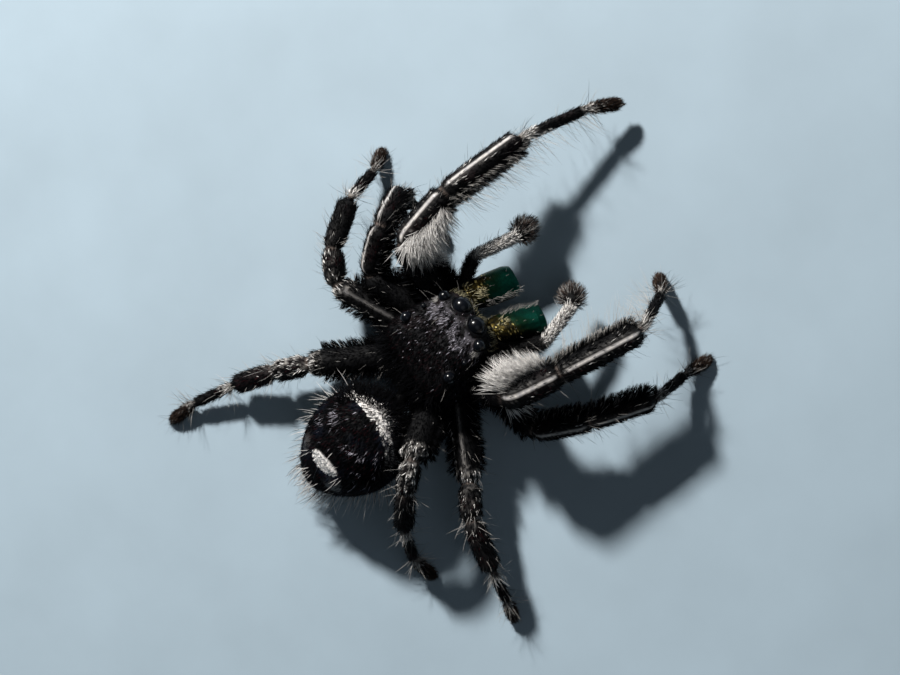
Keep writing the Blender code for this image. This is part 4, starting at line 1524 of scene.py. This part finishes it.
# the kinds of leg bristles are the fans at the joints and the single ones
legBristles = {"seed": 170, "blade": (4, 3, 1.0), "slot": "black_coat", "material": "paleHair",
               "samples": {1: 170, 2: 200, 3: 220, 4: 220}, "fans": 90, "turn": 20,
               "length": [(0.40, 1.05), (0.30, 0.80)], "width": [0.0075, 0.0060], "lift": (40, 78),
               "bend": (-30, 0), "sway": 15, "paleShare": [0.9, 0.5], "frontPaleness": 0.5}
waistHair = {"seed": 280, "blade": (2, 3, 1.0), "slot": "black_coat", "material": "darkHair",
             "blades": 1500, "turn": 35, "length": (0.35, 0.80), "width": 0.015, "lift": (30, 75),
             "bend": (-30, 0), "sway": 18}
hipHair = {"seed": 190, "blade": (2, 3, 1.0), "slot": "black_coat", "material": "darkHair",
           "samples": 1600, "turn": 30, "length": (0.35, 0.95), "width": 0.015, "lift": (25, 75),
           "bend": (-35, 0), "sway": 18, "reach": 2.4, "paleShare": 0.02}
brushShape = {"seed": 210, "blade": (3, 4, 0.35), "slot": "white_hair", "material": "paleHair",
              "samples": 26000, "blades": 2000, "turn": 24, "length": (0.60, 1.35),
              "width": (0.0084, 0.0144), "lift": (42, 92), "bend": (-25, 5), "sway": 22,
              "run": (0.60, 1.85), "knee": (1.02, 0.26)}
fringeShape = {"seed": 220, "blade": (2, 3, 0.7), "slot": "black_coat", "material": "darkHair",
               "samples": 30000, "turn": 14, "width": 0.013, "lift": (40, 84), "bend": (-25, 5), "sway": 14,
               "locks": 170}
# Each fringe: pair, from and to (segments from the hip), highest side of the leg, blades, lengths, pale share
fringes = {
    "thighFringes": (1, 0.02, 0.72, 0.25, 3200, (0.35, 0.80), 0.02),
    "frontLegFringes": (1, 1.40, 3.0, -0.10, 3400, (0.30, 0.55), 0.45),
    "secondThighFringes": (2, 0.02, 1.0, 0.15, 2600, (0.25, 0.55), 0.03),
    "thirdThighFringes": (3, 0.02, 0.85, 0.45, 2200, (0.25, 0.60), 0.02),
    "fourthThighFringes": (4, 0.02, 0.85, 0.45, 2300, (0.25, 0.65), 0.02),
    "secondLegFringes": (2, 1.0, 3.1, 0.1, 3450, (0.32, 0.60), 0.12),
}
fineHair = {"seed": 260, "blade": (4, 3, 1.0), "slot": "white_hair", "material": "paleHair",
            "samples": 9000, "blades": 300, "turn": 16, "length": (0.8, 1.5), "width": 0.0055,
            "lift": (50, 84), "bend": (-25, 5), "sway": 14, "run": (1.9, 3.95), "highest": -0.40}
footHair = {"seed": 230, "blade": (2, 3, 1.0), "slot": "foot_brush", "material": "darkHair",
            "samples": 720, "turn": 16, "length": (0.14, 0.26), "width": 0.011, "lift": (25, 50),
            "bend": (-15, 10), "sway": 12, "paleShare": 0.08}
bodyTrees = [
    BVHTree.FromPolygons([Vector(p) for p in shell["points"]], shell["triangles"].tolist())
    for shell in (headShell, abdomenShell)
]


def legSamples(side, pair, count, rng, weight=None):
    tube = legShells[side, pair]
    found = tubeSamples(tube, count, rng, weight)
    found["segment"] = tube["segment"][found["row"]]
    found["share"] = tube["share"][found["row"]]
    found["run"] = found["segment"] + found["share"]
    found["over"] = -np.cos(found["turn"])
    found["forward"] = np.sin(found["turn"]) * -sides[side]
    found["place"] = stripPlace(legNames.index((side, pair)), len(legNames), 0.03,
                                found["turn"] / (2 * math.pi), found["station"] / tube["stations"][-1])
    near = np.flatnonzero(found["station"] < 2.0)
    buried = np.zeros(count, bool)
    buried[near] = hiddenIn(found["root"][near], bodyTrees)
    return pick(found, ~buried)


def legRng(seed, side, pair=0):
    return np.random.default_rng(seed + pair * 10 + (side == "left"))


def coatLegs(pair):
    sets = []
    for side in sides:
        rng = legRng(legCoat["seed"], side, pair)
        found = legSamples(side, pair, legCoat["samples"][pair], rng)
        places = (found[key] for key in ("segment", "share", "forward", "over", "root"))
        marks = legMarks(pair, *places)
        free = rng.random(len(found["root"])) > legCoat["bareSpared"] * marks["bare"]
        found = pick({**found, **marks}, free)
        count = len(found["root"])
        isWhite = rng.random(count) < legCoat["whiteShare"] * found["white"]
        isMaroon = rng.random(count) < legCoat["maroonShare"] * found["maroon"]
        paleShare = np.where(found["segment"] == 0, legCoat["thighPaleShare"], legCoat["paleShare"])
        isPale = rng.random(count) < paleShare
        tint = dyed(dyed(tones["black"], isMaroon, tones["maroon"]), isPale, tones["pale"] * 0.7)
        tint = dyed(tint, isWhite, tones["white"] * rng.uniform(0.45, 1.0, (count, 1)))
        made = hairs(rng, found, legCoat, found["tangent"], tint, tint * 1.3,
                     longer=np.where(found["segment"] == 4, legCoat["tarsusLength"], 1.0),
                     steeper=np.where(isWhite, 0.7, 1.0))
        made["width"] = made["width"] * np.where(isWhite, legCoat["whiteWidth"], 1.0)
        sets.append(made)
    growCoat(f"legCoat{pair}", sets, legCoat)


def bristleLegs():
    # sparse long setae that stand out from every segment, and fans of them at the outer joints
    sets = []
    for side, pair in legNames:
        rng = legRng(legBristles["seed"], side, pair)
        loose = legSamples(side, pair, legBristles["samples"][pair], rng)
        tube = legShells[side, pair]
        joints = sum(bell(tube["stations"] - mark, 0.16) for mark in tube["marks"][4:6])
        joints = joints + 0.3 * bell(tube["stations"] - tube["marks"][3], 0.2)
        fans = legSamples(side, pair, legBristles["fans"], rng, joints)
        kind = np.repeat([1, 0], [len(loose["root"]), len(fans["root"])])
        found = {key: np.concatenate([loose[key], fans[key]]) for key in loose}
        count = len(kind)
        paleShare = drawn(rng, legBristles["paleShare"], count, kind)
        isPale = rng.random(count) < paleShare * (legBristles["frontPaleness"] if pair <= 2 else 1.0)
        tint = dyed(tones["black"], isPale, tones["pale"] * rng.uniform(0.6, 1.3, (count, 1)))
        shape = {**legBristles, "length": drawn(rng, legBristles["length"], count, kind)}
        sets.append(hairs(rng, found, shape, found["tangent"], tint, kind=kind))
    growCoat("legBristles", sets, legBristles)


def coatWaist():
    # black hair that closes the gap between the head and the abdomen
    sets = []
    for shell, sign in ((headShell, 1), (abdomenShell, -1)):
        rng = np.random.default_rng(waistHair["seed"] + sign)
        axes = shell["frame"].axes
        found = ballSamples(shell, waistHair["blades"] * 5, rng)
        faces = (found["normal"] @ axes[1] * sign > 0.35) & (found["normal"][:, 2] < 0.75)
        found = firstOf(found, faces, waistHair["blades"])
        found["place"] = rollPlace(found["local"], abdomenShell["span"])
        lie = axes[1] * 0.4 - axes[2]
        sets.append(hairs(rng, found, waistHair, lie, tones["black"], tones["black"] * 1.3))
    growCoat("waistHair", sets, waistHair)


def coatHips():
    # long black hair that closes the gaps between the bases of the legs
    sets = []
    for side, pair in legNames:
        rng = legRng(hipHair["seed"], side, pair)
        tube = legShells[side, pair]
        weight = 1 - smoothStep(tube["stations"], tube["marks"][1], tube["marks"][1] + hipHair["reach"])
        found = legSamples(side, pair, hipHair["samples"], rng, weight)
        found = pick(found, found["over"] < 0.35)
        isPale = rng.random(len(found["root"])) < hipHair["paleShare"]
        tint = dyed(tones["black"], isPale, tones["pale"] * 0.8)
        sets.append(hairs(rng, found, hipHair, found["tangent"], tint))
    growCoat("hipHair", sets, hipHair)


def brushFrontLegs():
    # the white comb of flat hairs under the thigh's end and the patella, swept back towards the body
    sets = []
    for side in sides:
        rng = legRng(brushShape["seed"], side)
        found = legSamples(side, 1, brushShape["samples"], rng)
        run = found["run"]
        knee = bell(run - brushShape["knee"][0], brushShape["knee"][1])
        strip = (run > brushShape["run"][0]) & (run < brushShape["run"][1])
        # the strip reaches further round the leg at the knee
        strip &= (found["over"] < 0.10 + 0.6 * knee) & (found["forward"] > 0.05 - 0.60 * knee)
        found = firstOf(found, strip, brushShape["blades"])
        tint = tones["white"] * rng.uniform(0.6, 1.05, (len(found["root"]), 1))
        full = np.sin(math.pi * np.clip((found["run"] - 0.45) / 1.60, 0, 1)) ** 0.5
        sets.append(hairs(rng, found, brushShape, -found["tangent"], tint * 0.6, tint, longer=full))
    growCoat("frontLegBrushes", sets, brushShape)


def fringeLegs(name):
    # black locks below a stretch of the leg, some with pale ends
    pair, start, finish, highest, blades, lengths, paleShare = fringes[name]
    shape = {**fringeShape, "length": lengths}
    locks = shape.pop("locks")
    sets = []
    for side in sides:
        rng = legRng(fringeShape["seed"] + 7 * list(fringes).index(name), side)
        found = legSamples(side, pair, shape["samples"], rng)
        strip = (found["run"] > start) & (found["run"] < finish) & (found["over"] < highest)
        found = firstOf(found, strip, blades)
        count = len(found["root"])
        isPale = rng.random(count) < paleShare
        made = hairs(rng, found, shape, found["tangent"], tones["black"])
        made["tipTint"] = dyed(tones["black"], isPale, tones["pale"] * rng.uniform(0.7, 1.4, (count, 1)))
        made["lock"] = locksOf(found["root"], locks, rng)
        sets.append(made)
    growCoat(name, sets, fringeShape)


def fineFrontHair():
    # long fine pale hairs under the tibia and the metatarsus of the front legs
    sets = []
    for side in sides:
        rng = legRng(fineHair["seed"], side)
        found = legSamples(side, 1, fineHair["samples"], rng)
        strip = (found["run"] > fineHair["run"][0]) & (found["run"] < fineHair["run"][1])
        found = firstOf(found, strip & (found["over"] < fineHair["highest"]), fineHair["blades"])
        tint = tones["pale"] * rng.uniform(0.8, 1.4, (len(found["root"]), 1))
        sets.append(hairs(rng, found, fineHair, found["tangent"], tint))
    growCoat("frontLegFineHair", sets, fineHair)


def brushFeet():
    # dense short brushes over the last segment, longest below its tip
    sets = []
    for side, pair in legNames:
        rng = legRng(footHair["seed"], side, pair)
        tube = legShells[side, pair]
        weight = (tube["segment"] == 4) * (0.4 + tube["share"] ** 2)
        found = legSamples(side, pair, footHair["samples"], rng, weight)
        count, tipward = len(found["root"]), found["share"]
        tint = tones["black"] + (tones["brown"] - tones["black"]) * rng.uniform(0.1, 0.9, (count, 1))
        tint = dyed(tint, rng.random(count) < footHair["paleShare"], tones["pale"] * 0.6)
        shape = {**footHair, "lift": rng.uniform(*footHair["lift"], count) * (1 - 0.3 * tipward)}
        longer = 1 + 0.5 * tipward * smoothStep(-found["over"], -0.2, 0.8)
        sets.append(hairs(rng, found, shape, found["tangent"], tint, tint * 1.2, longer=longer))
    growCoat("footBrushes", sets, footHair)


clawShape = {"length": 0.20, "thickness": 0.020, "spread": 0.05, "curl": 65.0, "steps": 9}


def makeClaws():
    # two small hooks at the end of each foot, half hidden in its brush
    points, faces = [], []
    steps = np.linspace(0, 1, clawShape["steps"])
    curl = np.radians(clawShape["curl"]) * steps
    for foot in legNames:
        tube = legShells[foot]
        aim, across, under = tube["tangents"][-1], tube["side"][-1], tube["under"][-1]
        for sign in (-1.0, 1.0):
            line = tube["line"][-1] + across * sign * clawShape["spread"] - aim * 0.04 - under * 0.05
            line = line + aim * (np.sin(curl) * clawShape["length"])[:, None]
            line = line + under * ((1 - np.cos(curl)) * clawShape["length"])[:, None]
            line[:, 2] = np.maximum(line[:, 2], 0.03)
            claw = roundTube(line, clawShape["thickness"] * (1 - 0.8 * steps), 8, under)
            faces += [tuple(k + len(points) for k in face) for face in claw["faces"]]
            points += claw["points"].tolist()
    piece = makeObject("footClaws", points, faces)
    piece.data.materials.append(materials["fang"])
    keep(piece, "fang")


for pair in (1, 2, 3, 4):
    coatLegs(pair)
bristleLegs()
coatWaist()
coatHips()
brushFrontLegs()
for name in fringes:
    fringeLegs(name)
fineFrontHair()
brushFeet()
makeClaws()
print("leg coat made")


# Coat of the palps

# the kinds of palp hair are the white scales of the outer arm and the dark hair
palpCoat = {"seed": 310, "blade": (2, 3, 0.6), "slot": "white_hair", "material": "paleHair",
            "samples": 3600, "turn": 18, "length": [(0.10, 0.22), (0.18, 0.40)], "width": [0.020, 0.011],
            "lift": (14, 42), "bend": (-20, 5), "sway": 14, "fine": 150, "fineLength": (0.35, 0.70),
            "fineWidth": 0.008, "fineLift": 60, "bulbLift": 18, "paleShare": 0.25, "whiteShare": 0.86}


def coatPalps():
    # white scales with dark specks on the outer arm, black hair on the inner one and brown on the bulb
    sets = []
    for number, side in enumerate(sides):
        rng = np.random.default_rng(palpCoat["seed"] + number)
        tube = palpShells[side]
        found = tubeSamples(tube, palpCoat["samples"], rng)
        onBulb, outer = tube["share"][found["row"]] > 0, tube["outer"][found["row"]]
        count = len(outer)
        browner = rng.uniform(0.0, 1.0, (count, 1)) * onBulb[:, None]
        tint = tones["black"] + (tones["brown"] - tones["black"]) * browner
        isPale = onBulb & (rng.random(count) < palpCoat["paleShare"])
        tint = dyed(tint, isPale, tones["pale"] * 0.6)
        isWhite = outer & (rng.random(count) < palpCoat["whiteShare"])
        tint = dyed(tint, isWhite, tones["white"] * rng.uniform(0.70, 1.05, (count, 1)))
        isFine = (np.arange(count) < palpCoat["fine"]) & outer & (np.cos(found["turn"]) > 0.2)
        kind = np.where(isWhite, 0, 1)
        length = drawn(rng, palpCoat["length"], count, kind)
        length = np.where(isFine, drawn(rng, palpCoat["fineLength"], count), length)
        found["place"] = stripPlace(number, len(sides), 0.05, found["turn"] / (2 * math.pi),
                                    found["station"] / tube["stations"][-1])
        made = hairs(rng, found, {**palpCoat, "length": length}, found["tangent"], tint, kind=kind,
                     raised=palpCoat["bulbLift"] * (onBulb & ~isWhite))
        made["width"][isFine] = palpCoat["fineWidth"]
        made["lift"][isFine] = math.radians(palpCoat["fineLift"])
        sets.append(made)
    growCoat("palpCoat", sets, palpCoat)


coatPalps()
print("palp coat made")


# Floor and lights

stage = {
    "floor": (0.315, 0.405, 0.475),
    "floorClouds": ((0.3, 0.94), (0.7, 1.05)),
    "floorNoise": (6.0, 5.0),
    "floorRoughness": 0.6,
    "floorSize": 400.0,
    "key": {"azimuth": 77.0, "elevation": 38.5, "distance": 160.0, "size": 16.0, "power": 0.52,
            "colour": (1.0, 0.97, 0.93)},
    "fill": {"azimuth": -60.0, "elevation": 62.0, "distance": 180.0, "size": 140.0, "power": 0.02,
             "colour": (0.86, 0.92, 1.0)},
    "sky": (0.62, 0.76, 0.86),
    "skyPower": 0.05,
    "view": "Standard",
}


def makeStage():
    half = stage["floorSize"] / 2
    floor = makeObject("floor", [(-half, -half, 0), (half, -half, 0), (half, half, 0), (-half, half, 0)],
                       [(0, 1, 2, 3)], smooth=False)
    stops = [(place, tuple(c * factor for c in stage["floor"])) for place, factor in stage["floorClouds"]]
    material = makeMaterial("paleFloor", stage["floorNoise"], stops, {"Roughness": stage["floorRoughness"]})
    floor.data.materials.append(material)
    for name in ("key", "fill"):
        values = stage[name]
        away = heading(values)
        light = bpy.data.lights.new(name, "AREA")
        light.shape = "DISK"
        light.size = values["size"] * mm
        light.energy = values["power"]
        light.color = values["colour"]
        lamp = linked(name, light)
        lamp.location = away * values["distance"] * mm
        lamp.rotation_mode = "QUATERNION"
        lamp.rotation_quaternion = away.to_track_quat("Z", "Y")
    world = bpy.data.worlds.new("softSky")
    world.use_nodes = True
    background = world.node_tree.nodes["Background"].inputs
    background["Color"].default_value = (*stage["sky"], 1.0)
    background["Strength"].default_value = stage["skyPower"]
    bpy.context.scene.world = world
    bpy.context.scene.view_settings.view_transform = stage["view"]


makeStage()
print("floor and lights made")
